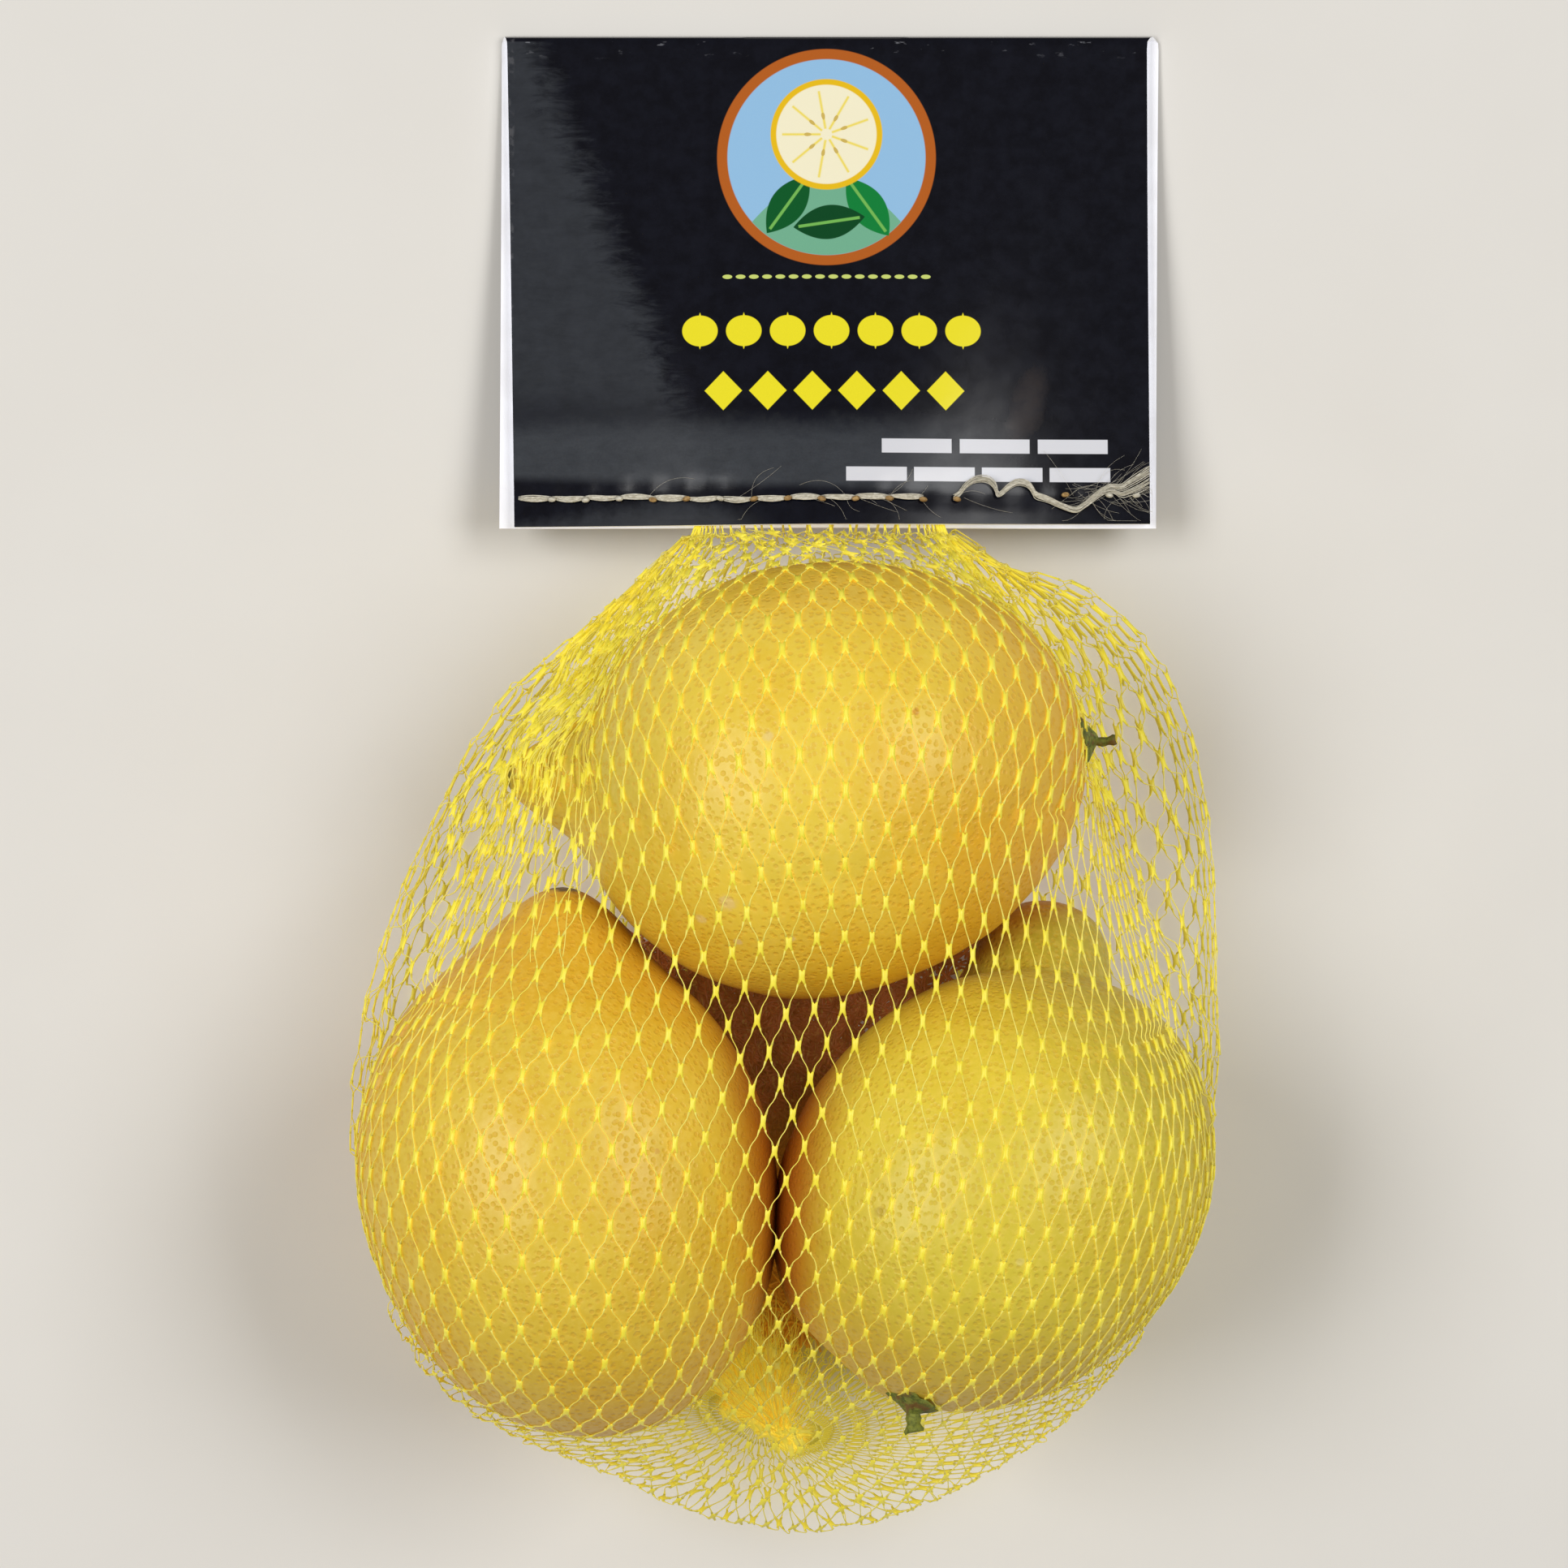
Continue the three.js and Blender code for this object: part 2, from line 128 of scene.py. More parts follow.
WEB_HALF_THICK, WEB_CROWN = 0.10, 0.04
LEAVES_WEB, REACHES_WEB = (0.54, 1.16), (0.39, 1.14)      # where strands meet a web: across it, along it
CURL = {1: 1.6, -1: 1.1}                     # how strongly strands to either side curve at their ends
SLACK_BELOW, BOW_LIMIT = 2.5, 1.1            # a shorter strand is slack, and bows out by no more than this
STRAND_HALF, STRAND_FLARE = 0.088, 0.13
PLEATS, PLEAT_HALF = 100, 0.085
PLEATS_LEFT, PLEATS_SIDES = 0.56, 0.62       # shares of the pleats on the left, and on both sides
FAN_FIBRES, CREST_FIBRES, GAP_SHADE_FIBRES, TAIL_WEBS = 520, 380, 3400, 230
GAP_SHADE_HALF = 0.26
GAP_TOP, GAP_LEFT, GAP_RIGHT = -20, -25.5, 33.5            # where the mat ends, so that it stays in the gap


# ------------------------------------------------------------------------------------------------ numbers
def unit(v):
    v = np.asarray(v, float)
    return v / np.maximum(np.linalg.norm(v, axis=-1, keepdims=True), 1e-9)


def mix(a, b, t):
    return a + (b - a) * t


def smooth(low, high, x):
    t = np.clip((np.asarray(x, float) - low) / (high - low), 0, 1)
    return t * t * (3 - 2 * t)


def along(path, distance):
    """Points on a path (points and their distances from its start) at the given distances."""
    points, reached = path
    return np.stack([np.interp(distance, reached, points[:, k]) for k in range(3)], -1)


def measured(points):
    """A path: its points, and how far along it each one lies."""
    steps = np.linalg.norm(np.diff(points, axis=0), axis=1)
    return points, np.r_[0, np.cumsum(steps)]


def smooth_path(points, count):
    """A path on a smooth curve through the points."""
    points = np.asarray(points, float)
    t = np.r_[0, np.cumsum(np.linalg.norm(np.diff(points, axis=0), axis=1) ** 0.5)]
    slopes = np.gradient(points, t, axis=0)
    asked = np.linspace(0, t[-1], count)
    i = np.clip(np.searchsorted(t, asked) - 1, 0, len(t) - 2)
    span = (t[i + 1] - t[i])[:, None]
    s = (asked - t[i])[:, None] / span
    return measured(hermite(points[i], points[i + 1], span * slopes[i], span * slopes[i + 1], s))


def hermite(start, end, leaving, arriving, t):
    t2, t3 = t * t, t * t * t
    return ((2 * t3 - 3 * t2 + 1) * start + (t3 - 2 * t2 + t) * leaving
            + (3 * t2 - 2 * t3) * end + (t3 - t2) * arriving)


# ------------------------------------------------------------------------------------------------ meshes
def piece(name, points, faces, materials, slot, stands_for, casts_shadow=True):
    """A finished piece from points in millimetres: it rides on the part's one body."""
    mesh = bpy.data.meshes.new(name)
    mesh.from_pydata(((points + SHIFT) * MM).tolist(), [], faces)
    mesh.shade_smooth()
    made = bpy.data.objects.new(name, mesh)
    made.visible_shadow = casts_shadow
    bpy.context.scene.collection.objects.link(made)
    return finished(made, materials, stands_for)


def finished(made, materials, stands_for):
    for material in materials:
        made.data.materials.append(material)
    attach(made, "root")
    if stands_for:
        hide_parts(stands_for)
    return made


def tubes(paths, radii, sides, facing=None, flat=1.0):
    """Closed tubes along paths (n, m, 3). facing turns each cross-section, and flat thins it that way."""
    n, m = paths.shape[:2]
    heading = unit(np.gradient(paths, axis=1))
    if facing is None:
        facing = np.broadcast_to(np.array([0.0, 0.0, 1.0]), paths.shape)
    across = np.cross(heading, facing)
    weak = np.linalg.norm(across, axis=-1, keepdims=True) < 0.05
    across = unit(np.where(weak, np.cross(heading, np.array([0.0, 1.0, 0.02])), across))
    raised = np.cross(across, heading)
    turn = FULL_TURN * (np.arange(sides) + 0.5) / sides
    radii = np.broadcast_to(np.asarray(radii, float), (n, m))[..., None, None]
    ring = (np.cos(turn)[:, None] * across[:, :, None, :]
            + flat * np.sin(turn)[:, None] * raised[:, :, None, :])
    points = (paths[:, :, None, :] + radii * ring).reshape(-1, 3)
    side = np.arange(sides)
    nxt = (side + 1) % sides
    wall = [(a, b, b + sides, a + sides) for a, b in zip(side, nxt)]
    one = [tuple(int(v) + sides * k for v in quad) for k in range(m - 1) for quad in wall]
    one.append(tuple(int(v) for v in side[::-1]))
    one.append(tuple(int(v) + sides * (m - 1) for v in side))
    faces = [tuple(v + sides * m * k for v in face) for k in range(n) for face in one]
    return points, faces


def joined(parts):
    """One set of points and faces from several."""
    points, faces, start = [], [], 0
    for part_points, part_faces in parts:
        points.append(part_points)
        faces.extend(tuple(v + start for v in face) for face in part_faces)
        start += len(part_points)
    return np.concatenate(points), faces


def copies(shape, faces, centres, frames):
    """A small shape set down once for each centre, turned by that centre's three directions."""
    points = centres[:, None, :] + np.einsum("npk,nkc->npc", shape, frames)
    count = shape.shape[1]
    repeated = [tuple(v + count * k for v in face) for k in range(len(centres)) for face in faces]
    return points.reshape(-1, 3), repeated


# ------------------------------------------------------------------------------------------------ shader
def paint(red, green, blue):
    """A colour from 0 to 255 a channel, as the shader wants it."""
    def linear(c):
        c /= 255
        return c / 12.92 if c < 0.04045 else ((c + 0.055) / 1.055) ** 2.4
    return linear(red), linear(green), linear(blue), 1.0


class Wire:
    """A number that runs between shader nodes, on which Python's arithmetic works."""

    def __init__(self, finish, socket):
        self.finish, self.socket = finish, socket

    def calculate(self, operation, first, second=None):
        values = [first] if second is None else [first, second]
        return self.finish.node("ShaderNodeMath", {"operation": operation}, values)

    def __add__(self, other):
        return self.calculate("ADD", self, other)

    def __radd__(self, other):
        return self.calculate("ADD", other, self)

    def __sub__(self, other):
        return self.calculate("SUBTRACT", self, other)

    def __rsub__(self, other):
        return self.calculate("SUBTRACT", other, self)

    def __mul__(self, other):
        return self.calculate("MULTIPLY", self, other)

    def __rmul__(self, other):
        return self.calculate("MULTIPLY", other, self)

    def __truediv__(self, other):
        return self.calculate("DIVIDE", self, other)

    def __pow__(self, other):
        return self.calculate("POWER", self, other)

    def __abs__(self):
        return self.calculate("ABSOLUTE", self)

    def part(self):
        """What is left over after the whole number."""
        return self.calculate("FRACT", self)

    def highest(self, other):
        return self.calculate("MAXIMUM", self, other)

    def step(self, low, high):
        """0 below low, 1 above high, and smooth between."""
        settings = {"interpolation_type": "SMOOTHSTEP"}
        ends = (0.0, 1.0) if low < high else (1.0, 0.0)
        low, high = min(low, high), max(low, high)
        return self.finish.node("ShaderNodeMapRange", settings, [self, low, high, *ends])

    def within(self, limit, soft=0.1):
        """1 inside the limit and 0 outside it, and smooth by soft to either side of it."""
        return self.step(limit + soft, limit - soft)


class Finish:
    """A material and the nodes that make it. Lengths in its nodes are millimetres."""

    def __init__(self, name, middle=(0, 0, 0), roughness=0.5, specular=0.5, coat=0.0):
        self.material = bpy.data.materials.new(name)
        self.material.use_nodes = True
        self.tree = self.material.node_tree
        self.shader = next(n for n in self.tree.nodes if n.type == "BSDF_PRINCIPLED")
        self.shader.inputs["Roughness"].default_value = roughness
        self.shader.inputs["Specular IOR Level"].default_value = specular
        self.shader.inputs["Coat Weight"].default_value = coat
        place = self.node("ShaderNodeTexCoord", output="Object")
        start = [-(middle[k] + SHIFT[k]) for k in range(3)]
        values = {"Vector": place, "Location": start, "Scale": (1 / MM,) * 3}
        self.place = self.node("ShaderNodeMapping", {}, values)

    def node(self, kind, settings=None, values=(), output=0):
        made = self.tree.nodes.new(kind)
        for name, value in (settings or {}).items():
            setattr(made, name, value)
        entries = values.items() if isinstance(values, dict) else enumerate(values)
        for key, value in entries:
            if isinstance(value, Wire):
                self.tree.links.new(value.socket, made.inputs[key])
            else:
                made.inputs[key].default_value = value
        return Wire(self, made.outputs[output])

    def xyz(self):
        split = self.node("ShaderNodeSeparateXYZ", {}, [self.place])
        return [Wire(self, socket) for socket in split.socket.node.outputs]

    def noise(self, size, detail=3.0, rough=0.55, vector=None, warp=0.0):
        """Noise from 0 to 1 whose lumps are about that many millimetres across."""
        values = {"Vector": vector or self.place, "Scale": 1 / size, "Detail": detail, "Roughness": rough,
                  "Distortion": warp}
        return self.node("ShaderNodeTexNoise", {}, values)

    def cells(self, size):
        """Distance from the middle of the nearest of many small cells."""
        values = {"Vector": self.place, "Scale": 1 / size}
        return self.node("ShaderNodeTexVoronoi", {}, values, "Distance")

    def stretched(self, scale):
        return self.node("ShaderNodeMapping", {}, {"Vector": self.place, "Scale": scale})

    def blend(self, amount, first, second):
        """Colour first where amount is 0, second where it is 1."""
        return self.node("ShaderNodeMix", {"data_type": "RGBA"}, {0: amount, 6: first, 7: second}, 2)

    def dot(self, direction):
        values = [self.place, tuple(direction)]
        return self.node("ShaderNodeVectorMath", {"operation": "DOT_PRODUCT"}, values, "Value")

    def away(self, point):
        """Distance from a point, measured in the material's own millimetres."""
        values = [self.place, tuple(point)]
        return self.node("ShaderNodeVectorMath", {"operation": "DISTANCE"}, values, "Value")

    def bump(self, height, depth, before=None):
        """Height from 0 to 1 raised by depth millimetres, on top of an earlier bump."""
        values = {"Strength": 1.0, "Distance": depth * MM, "Height": height}
        if before:
            values["Normal"] = before
        return self.node("ShaderNodeBump", {}, values)

    def wear(self, **links):
        """Links values to the shader: colour, roughness, normal and the like."""
        names = dict(colour="Base Color", roughness="Roughness", normal="Normal", coat="Coat Weight",
                     glow="Emission Color")
        for name, value in links.items():
            socket = self.shader.inputs[names[name]]
            if isinstance(value, Wire):
                self.tree.links.new(value.socket, socket)
            else:
                socket.default_value = value
        return self.material


# ------------------------------------------------------------------------------------------------ lemons
def reach(lemon, direction):
    """Distance from a lemon's middle to its skin."""
    c = direction @ unit(lemon["axis"])
    half = np.where(c > 0, lemon["nipple_half"], lemon["stem_half"])
    body = 1 / np.hypot(c / half, np.sqrt(np.clip(1 - c * c, 0, 1)) / lemon["round"])
    away = np.degrees(np.arccos(np.clip(direction @ unit(lemon["nipple"]), -1, 1)))
    return body + lemon["rise"] * np.exp(-(away / lemon["spread"]) ** lemon["steep"])


def push_out(points, gap):
    """Moves points that lie in a lemon out to its skin, and a gap beyond it."""
    for lemon in FRUIT.values():
        v = points - np.array(lemon["at"])
        distance = np.maximum(np.linalg.norm(v, axis=-1, keepdims=True), 1e-6)
        direction = v / distance
        short = reach(lemon, direction.reshape(-1, 3)).reshape(distance.shape) + gap - distance
        points += direction * np.maximum(0, short)
    return points


def lumps(points, seed, size, count=14):
    """Gentle unevenness between about -1 and 1 over lengths of that size."""
    draw = np.random.default_rng(seed)
    waves = unit(draw.normal(size=(count, 3))) * FULL_TURN / (size * draw.uniform(0.7, 1.6, (count, 1)))
    return np.sin(points @ waves.T + draw.uniform(0, FULL_TURN, count)).sum(1) / count ** 0.5 / 1.6


def skin_reach(key, direction):
    """Distance from a lemon's middle to its real skin, with its swellings and the dip at its stem."""
    lemon, seed = FRUIT[key], 11 + len(key)
    far = reach(lemon, direction)
    skin = direction * far[:, None]
    at_stem = np.degrees(np.arccos(np.clip(direction @ -unit(lemon["axis"]), -1, 1)))
    at_nipple = np.degrees(np.arccos(np.clip(direction @ unit(lemon["nipple"]), -1, 1)))
    crease = lemon.get("crease", 0) * np.exp(-((at_nipple - 1.32 * lemon["spread"]) / 4) ** 2)
    far = far - lemon["dimple"] * np.exp(-(at_stem / 9) ** 2) - crease - 0.2
    swellings = 0.26 * lumps(skin, seed, 26)
    return far + swellings + 0.10 * lumps(skin, seed + 1, 9) + 0.03 * lumps(skin, seed + 2, 3.2, 24)


def lay_on_skin(points, gap):
    """Moves points that lie close to a lemon on to its real skin."""
    for key, lemon in FRUIT.items():
        v = points - np.array(lemon["at"])
        distance = np.maximum(np.linalg.norm(v, axis=-1, keepdims=True), 1e-6)
        direction = v / distance
        off = distance - skin_reach(key, direction.reshape(-1, 3)).reshape(distance.shape)
        points -= direction * (off - gap) * smooth(1.3, 0.6, off)
    return points


def rind(name, key, ripe, deep, green, green_nipple, green_stem, nipple_tip, flanks):
    """Lemon skin: oil pits, broad changes of colour, greener ends, a few marks, and painted shade on the
    flanks.
    """
    lemon = FRUIT[key]
    finish = Finish(name, lemon["at"], roughness=0.4, specular=0.42)
    pit = finish.cells(1.0).step(0.50, 0.20)
    blotch = finish.noise(1.1, 2, 0.6)
    fine = finish.noise(0.4, 2)
    swell = finish.noise(6.0, 2)
    broad = finish.noise(26.0, 3, 0.5)
    colour = finish.blend(broad.step(0.36, 0.66), paint(*ripe), paint(*deep))
    axis = unit(lemon["axis"])
    reached = finish.dot(axis)
    colour = finish.blend(reached.step(12, lemon["nipple_half"]) * green_nipple, colour, paint(*green))
    colour = finish.blend(reached.step(-12, -lemon["stem_half"]) * green_stem, colour, paint(*green))
    colour = finish.blend(blotch.step(0.42, 0.66) * 0.22, colour, paint(250, 222, 104))
    dark = paint(*[c * k for c, k in zip(deep, (0.97, 0.88, 0.66))])
    colour = finish.blend(pit * 0.36, colour, dark)
    # Painted shade: each flank that turns away, presses on another fruit or faces down is blended to a darker
    # tone.
    for direction, low, high, amount, tone in flanks:
        flank = finish.dot(unit(direction)) / lemon["round"] + finish.noise(5.0) * 0.06
        colour = finish.blend(flank.step(low, high) * amount, colour, paint(*tone))
    tip = finish.away(unit(lemon["nipple"]) * (lemon["nipple_half"] + lemon["rise"]))
    edge = tip + finish.noise(1.4) * 1.6
    colour = finish.blend(edge.step(nipple_tip[0] + 1.6, nipple_tip[0] + 0.2), colour, paint(*nipple_tip[1:]))
    for mark_x, mark_y, size, tone, amount in SKIN_MARKS[key]:
        point = skin_point(lemon, mark_x, mark_y)
        mark = (finish.away(point) + finish.noise(1.1) * size * 1.1).step(size * 1.7, size * 1.1)
        colour = finish.blend(mark * amount, colour, paint(*tone))
    normal = finish.bump(swell, 0.25)
    normal = finish.bump(1 - pit * 0.9 + fine * 0.1, 0.08, normal)
    return finish.wear(colour=colour, roughness=0.34 + pit * 0.16 + fine * 0.1, normal=normal)


def skin_point(lemon, x, y):
    """The point on top of a lemon at x, y from its middle, and so where a mark lies on it."""
    high = np.linspace(45, 0, 451)
    tested = np.stack([np.full(451, float(x)), np.full(451, float(y)), high], -1)
    distance = np.linalg.norm(tested, axis=1)
    inside = distance <= reach(lemon, tested / distance[:, None])
    return tested[np.argmax(inside)]


def add_lemon(key, material):
    lemon = FRUIT[key]
    bpy.ops.mesh.primitive_ico_sphere_add(subdivisions=6, radius=1.0, location=(0, 0, 0))
    made = bpy.context.active_object
    made.name = made.data.name = "lemon_" + key
    co = np.zeros(len(made.data.vertices) * 3)
    made.data.vertices.foreach_get("co", co)
    direction = unit(co.reshape(-1, 3))
    points = direction * skin_reach(key, direction)[:, None] + np.array(lemon["at"])
    points[:, 2] = np.maximum(points[:, 2], 0.4)
    made.data.vertices.foreach_set("co", ((points + SHIFT) * MM).ravel())
    made.data.shade_smooth()
    made.select_set(False)
    return finished(made, [material], "net_bag")


PALE_SCAR, BROWN_SPECK = (236, 208, 140), (120, 78, 30)
SKIN_MARKS = {      # x and y from the fruit's middle, size, colour and strength
    "across": [(-12.5, -18, 1.5, PALE_SCAR, 0.7), (-16.5, -20.5, 1.0, PALE_SCAR, 0.6),
               (-11, -24, 0.8, PALE_SCAR, 0.8), (-6.5, 6.5, 0.9, PALE_SCAR, 0.5),
               (-3, -23.5, 0.7, PALE_SCAR, 0.7), (15, 10, 0.6, (205, 130, 40), 0.6)],
    "left": [(6.2, -29.5, 0.35, BROWN_SPECK, 0.9), (1.2, -30.8, 0.35, BROWN_SPECK, 0.8),
             (-22, -8, 0.6, (205, 140, 50), 0.5), (14, 6, 0.5, (210, 150, 50), 0.5)],
    "right": [(-17.6, -1.8, 1.0, (190, 160, 50), 0.6), (9, 14, 0.4, BROWN_SPECK, 0.6),
              (3, -9, 0.8, (236, 220, 130), 0.5)],
}
# Painted shade, darker and more orange, where the skin turns away, where two fruits press and underneath:
# the way a flank faces, where the shade starts and is full, its strength and its colour.
SHADE_TURNED_AWAY, SHADE_FRUITS_PRESS = (224, 158, 36), (168, 84, 12)       # where the skin turns away, and where two fruits press
SHADE_UNDERSIDE = ((0, 0, -1), 0.1, 0.6, 0.65, (206, 132, 36))
lemon_rind = {
    "across": rind("rind_golden", "across", (243, 212, 72), (238, 194, 50), (190, 170, 52), 0.55, 0.10,
                   (2.2, 120, 108, 45),
                   [SHADE_UNDERSIDE,
                    ((1, -0.3, -0.1), 0.1, 1.0, 0.5, SHADE_TURNED_AWAY),
                    ((0, -1, -0.55), 0.74, 1.0, 1.0, SHADE_FRUITS_PRESS),
                    ((0, 0.9, -0.45), 0.74, 0.94, 0.75, (180, 98, 24))]),
    "left": rind("rind_amber", "left", (234, 201, 66), (230, 186, 48), (212, 172, 50), 0.40, 0.15,
                 (2.6, 92, 62, 24),
                 [SHADE_UNDERSIDE,
                  ((0, 0, -1), -0.7, -0.1, 0.35, SHADE_TURNED_AWAY),
                  ((1, 0.1, -0.1), 0.68, 1.0, 0.9, SHADE_FRUITS_PRESS),
                  ((0.5, 0.6, -0.6), 0.74, 1.0, 1.0, SHADE_FRUITS_PRESS)]),
    "right": rind("rind_greenish", "right", (227, 208, 68), (221, 196, 56), (180, 164, 50), 0.85, 0.30,
                  (2.0, 130, 120, 40),
                  [((0, 0, -1), 0.45, 0.8, 0.6, (176, 120, 36)),
                   ((-0.4, -0.9, -0.3), 0.2, 1.0, 0.4, SHADE_TURNED_AWAY),
                   ((-1, 0.1, -0.1), 0.68, 1.0, 0.9, SHADE_FRUITS_PRESS),
                   ((-0.5, 0.6, -0.6), 0.74, 1.0, 0.8, (176, 100, 22))]),
}
for key, material in lemon_rind.items():
    add_lemon(key, material)


# ------------------------------------------------------------------------------------------------ card
def down(y):
    return np.maximum(0, (FOLD_Y - np.asarray(y, float)) / CARD_DROP)


def over_neck(x):
    return np.exp(-((np.asarray(x, float) - NECK_X) / NECK_SPREAD) ** 2)


def card_middle(x, y):
    """Height midway between the card's two panels."""
    return BOARD + FOLD_GAP + (CARD_LIFT + NECK_LIFT * over_neck(x)) * down(y) ** 1.5


def card_gap(x, y):
    """Half the gap between the panels."""
    return FOLD_GAP + NECK_GAP * smooth(0.42, 0.80, down(y)) * np.sqrt(over_neck(x))


def card_face(x, y):
    """Height of the front panel's printed face."""
    return card_middle(x, y) + card_gap(x, y) + BOARD


def card_sheet(finishes):
    """The folded sheet: a grid laid out flat, folded and bowed, then given the board's thickness.

    The finishes are the printed outer face, the plain outer face, and the bare board inside and at the edges.
    """
    bpy.ops.mesh.primitive_grid_add(x_subdivisions=72, y_subdivisions=110, size=2.0, location=(0, 0, 0))
    made = bpy.context.active_object
    made.name = made.data.name = "header_card_sheet"
    mesh = made.data
    flat = np.zeros(len(mesh.vertices) * 3)
    mesh.vertices.foreach_get("co", flat)
    place, run = ((flat.reshape(-1, 3)[:, k] + 1) / 2 for k in (0, 1))
    points = sheet_points(place, run)
    mesh.vertices.foreach_set("co", ((points + SHIFT) * MM).ravel())
    rows = np.array([run[face.vertices[0]] for face in mesh.polygons])
    for face, at in zip(mesh.polygons, rows):
        face.material_index = 0 if at < FRONT_SHARE else 1
    for finish in finishes:
        mesh.materials.append(finish)
    board = made.modifiers.new("board", "SOLIDIFY")
    board.thickness, board.offset, board.use_even_offset = BOARD * MM, 0.0, True
    board.material_offset, board.material_offset_rim = 2, 2
    bpy.ops.object.modifier_apply(modifier="board")
    for face in mesh.polygons:
        face.material_index = min(face.material_index, 2)
    mesh.shade_smooth()
    mesh.set_sharp_from_angle(angle=math.radians(40))
    made.select_set(False)
    return made


def sheet_points(place, run):
    """Points midway in the sheet: place runs across it, and run from the front's low edge over the fold."""
    front = np.clip(1 - run / FRONT_SHARE, 0, 1)
    back = np.clip((run - FRONT_SHARE - FOLD_SHARE) / (1 - FRONT_SHARE - FOLD_SHARE), 0, 1)
    turn = math.pi / 2 - math.pi * np.clip((run - FRONT_SHARE) / FOLD_SHARE, 0, 1)
    turned = turn / math.pi + 0.5
    v = np.maximum(front, back)
    bend_y = FOLD_Y - BOARD - FOLD_GAP
    on_front = run < FRONT_SHARE + FOLD_SHARE / 2
    left_front = mix(FRONT_LEFT_TOP, FRONT_LEFT_LOW, v)
    left = np.where(v > 0, np.where(on_front, left_front, BACK_LEFT), mix(BACK_LEFT, FRONT_LEFT_TOP, turned))
    right_back = BACK_RIGHT - BACK_TAPER * v
    right = np.where(v > 0, np.where(on_front, FRONT_RIGHT, right_back), mix(BACK_RIGHT, FRONT_RIGHT, turned))
    x = mix(left, right, place)
    low = FOLD_Y - CARD_DROP + np.where(on_front, FRONT_LOW_Y + FRONT_SKEW_Y * place, BACK_LOW_Y)
    radius = card_gap(x, mix(bend_y, low, v)) + BOARD / 2
    y = mix(bend_y, low, v) + np.where(v > 0, 0, (FOLD_GAP + BOARD / 2) * np.cos(turn))
    side = np.where(v > 0, np.where(on_front, 1.0, -1.0), np.sin(turn))
    radius = np.where(v > 0, radius, FOLD_GAP + BOARD / 2)
    z = card_middle(x, y) + side * radius
    flat = np.stack([x, y, np.zeros_like(x)], -1)
    z += 0.12 * lumps(flat, 41, 30) * smooth(0, 0.3, v)
    stitched = (x > SEAM_FROM - 1) & (x < SEAM_TO + 26)
    at_hole = 0.5 + 0.5 * np.cos(FULL_TURN * (x - SEAM_FROM) / PITCH)
    pucker = np.exp(-((y - SEAM_Y - 0.8) / 1.5) ** 2) * (0.35 + 0.65 * at_hole) * stitched
    z -= side * 0.32 * pucker * np.where(v > 0, 1, 0)
    return np.stack([x, y, z], -1)


def glossy_print(name, printed):
    """Black gloss print on board. The printed face has a fruit medallion and plain marks in rows."""
    finish = Finish(name, roughness=0.2, specular=0.32)
    x, y, _ = finish.xyz()
    weave = finish.noise(0.35, 2)
    mottle = finish.noise(3.0, 4, 0.65)
    crinkle = finish.noise(1.5, 4, 0.7, finish.stretched((0.3, 1, 1)), 0.6)
    colour = finish.blend(mottle.step(0.3, 0.7), ink["black"], ink["grey_black"])
    if printed:
        colour = sheen_smudge_and_wear(finish, (x, y), (weave, mottle, crinkle), colour)
        u, v = x - MEDALLION[0], y - MEDALLION[1]
        colour = medallion(finish, u, v, colour)
        colour = cut_lemon(finish, u, v - SLICE_UP, colour)
        colour = mark_rows(finish, x, y, colour)
        colour = broken_bars(finish, x, y, colour)
    # A lighter grey, broken by noise, along the card's left edge.
    edge = finish.noise(1.6, 3).step(0.5, 0.7) * (x - LIGHT_EDGE_X).step(0.5, 0.1)
    colour = finish.blend(edge * 0.3, colour, ink["edge_grey"])
    normal = finish.bump(finish.noise(11.0, 2), 0.10)
    normal = finish.bump(mottle * 0.5 + weave * 0.5, 0.006, normal)
    return finish.wear(colour=colour, roughness=0.14 + mottle * 0.12, normal=normal)


def sheen_smudge_and_wear(finish, at, grain, colour):
    """Painted reflection: a grey sheen on the left and in a low band, for the lamps mirrored in the bowed
    gloss.
    A smudge on the right, and flecks where the fold is rubbed, which are wear with painted glints.
    """
    (x, y), (weave, mottle, crinkle) = at, grain
    left = (x - SHEEN_SLANT * (FOLD_Y - y) - 0.8 * (crinkle * 16 - 8)).step(*SHEEN_SIDE) * y.step(*SHEEN_RISE)
    left = left * (x + finish.noise(14.0) * 4).step(*SHEEN_MARGIN)
    band = (y + mottle * 5).step(*SHEEN_BAND_TOP) * (y + 0.03 * x).step(*SHEEN_BAND_LOW)
    band = band * (x + mottle * 20).step(*SHEEN_BAND_RIGHT)
    low = (y - mottle * 3 + 0.18 * abs(x - LOW_SHEEN_X)).step(*LOW_SHEEN_TOP)
    low = low * (x + mottle * 9).step(*LOW_SHEEN_RIGHT)
    painted_sheen = left * 0.62 + band * (0.75 + 0.25 * weave) + low * 0.5
    colour = finish.blend(painted_sheen * (0.35 + 0.4 * mottle + 0.4 * crinkle), colour, ink["painted_sheen"])
    rise = y - SMUDGE[1]
    aside = x - SMUDGE[0] - SMUDGE_LEAN * rise
    smudge = (aside / SMUDGE_HALF[0]) ** 2 + (rise / SMUDGE_HALF[1]) ** 2 + mottle * 2.4
    colour = finish.blend(smudge.step(2.6, 1.2) * 0.6, colour, ink["smudge"])
    # Flecks where the fold is rubbed: wear, with painted glints.
    wear_glint = finish.noise(1.2, 3, 0.6, finish.stretched((0.4, 1, 1))).step(0.63, 0.72)
    return finish.blend(wear_glint * y.step(*WEAR_GLINT_RISE) * 0.55, colour, ink["wear_glint"])


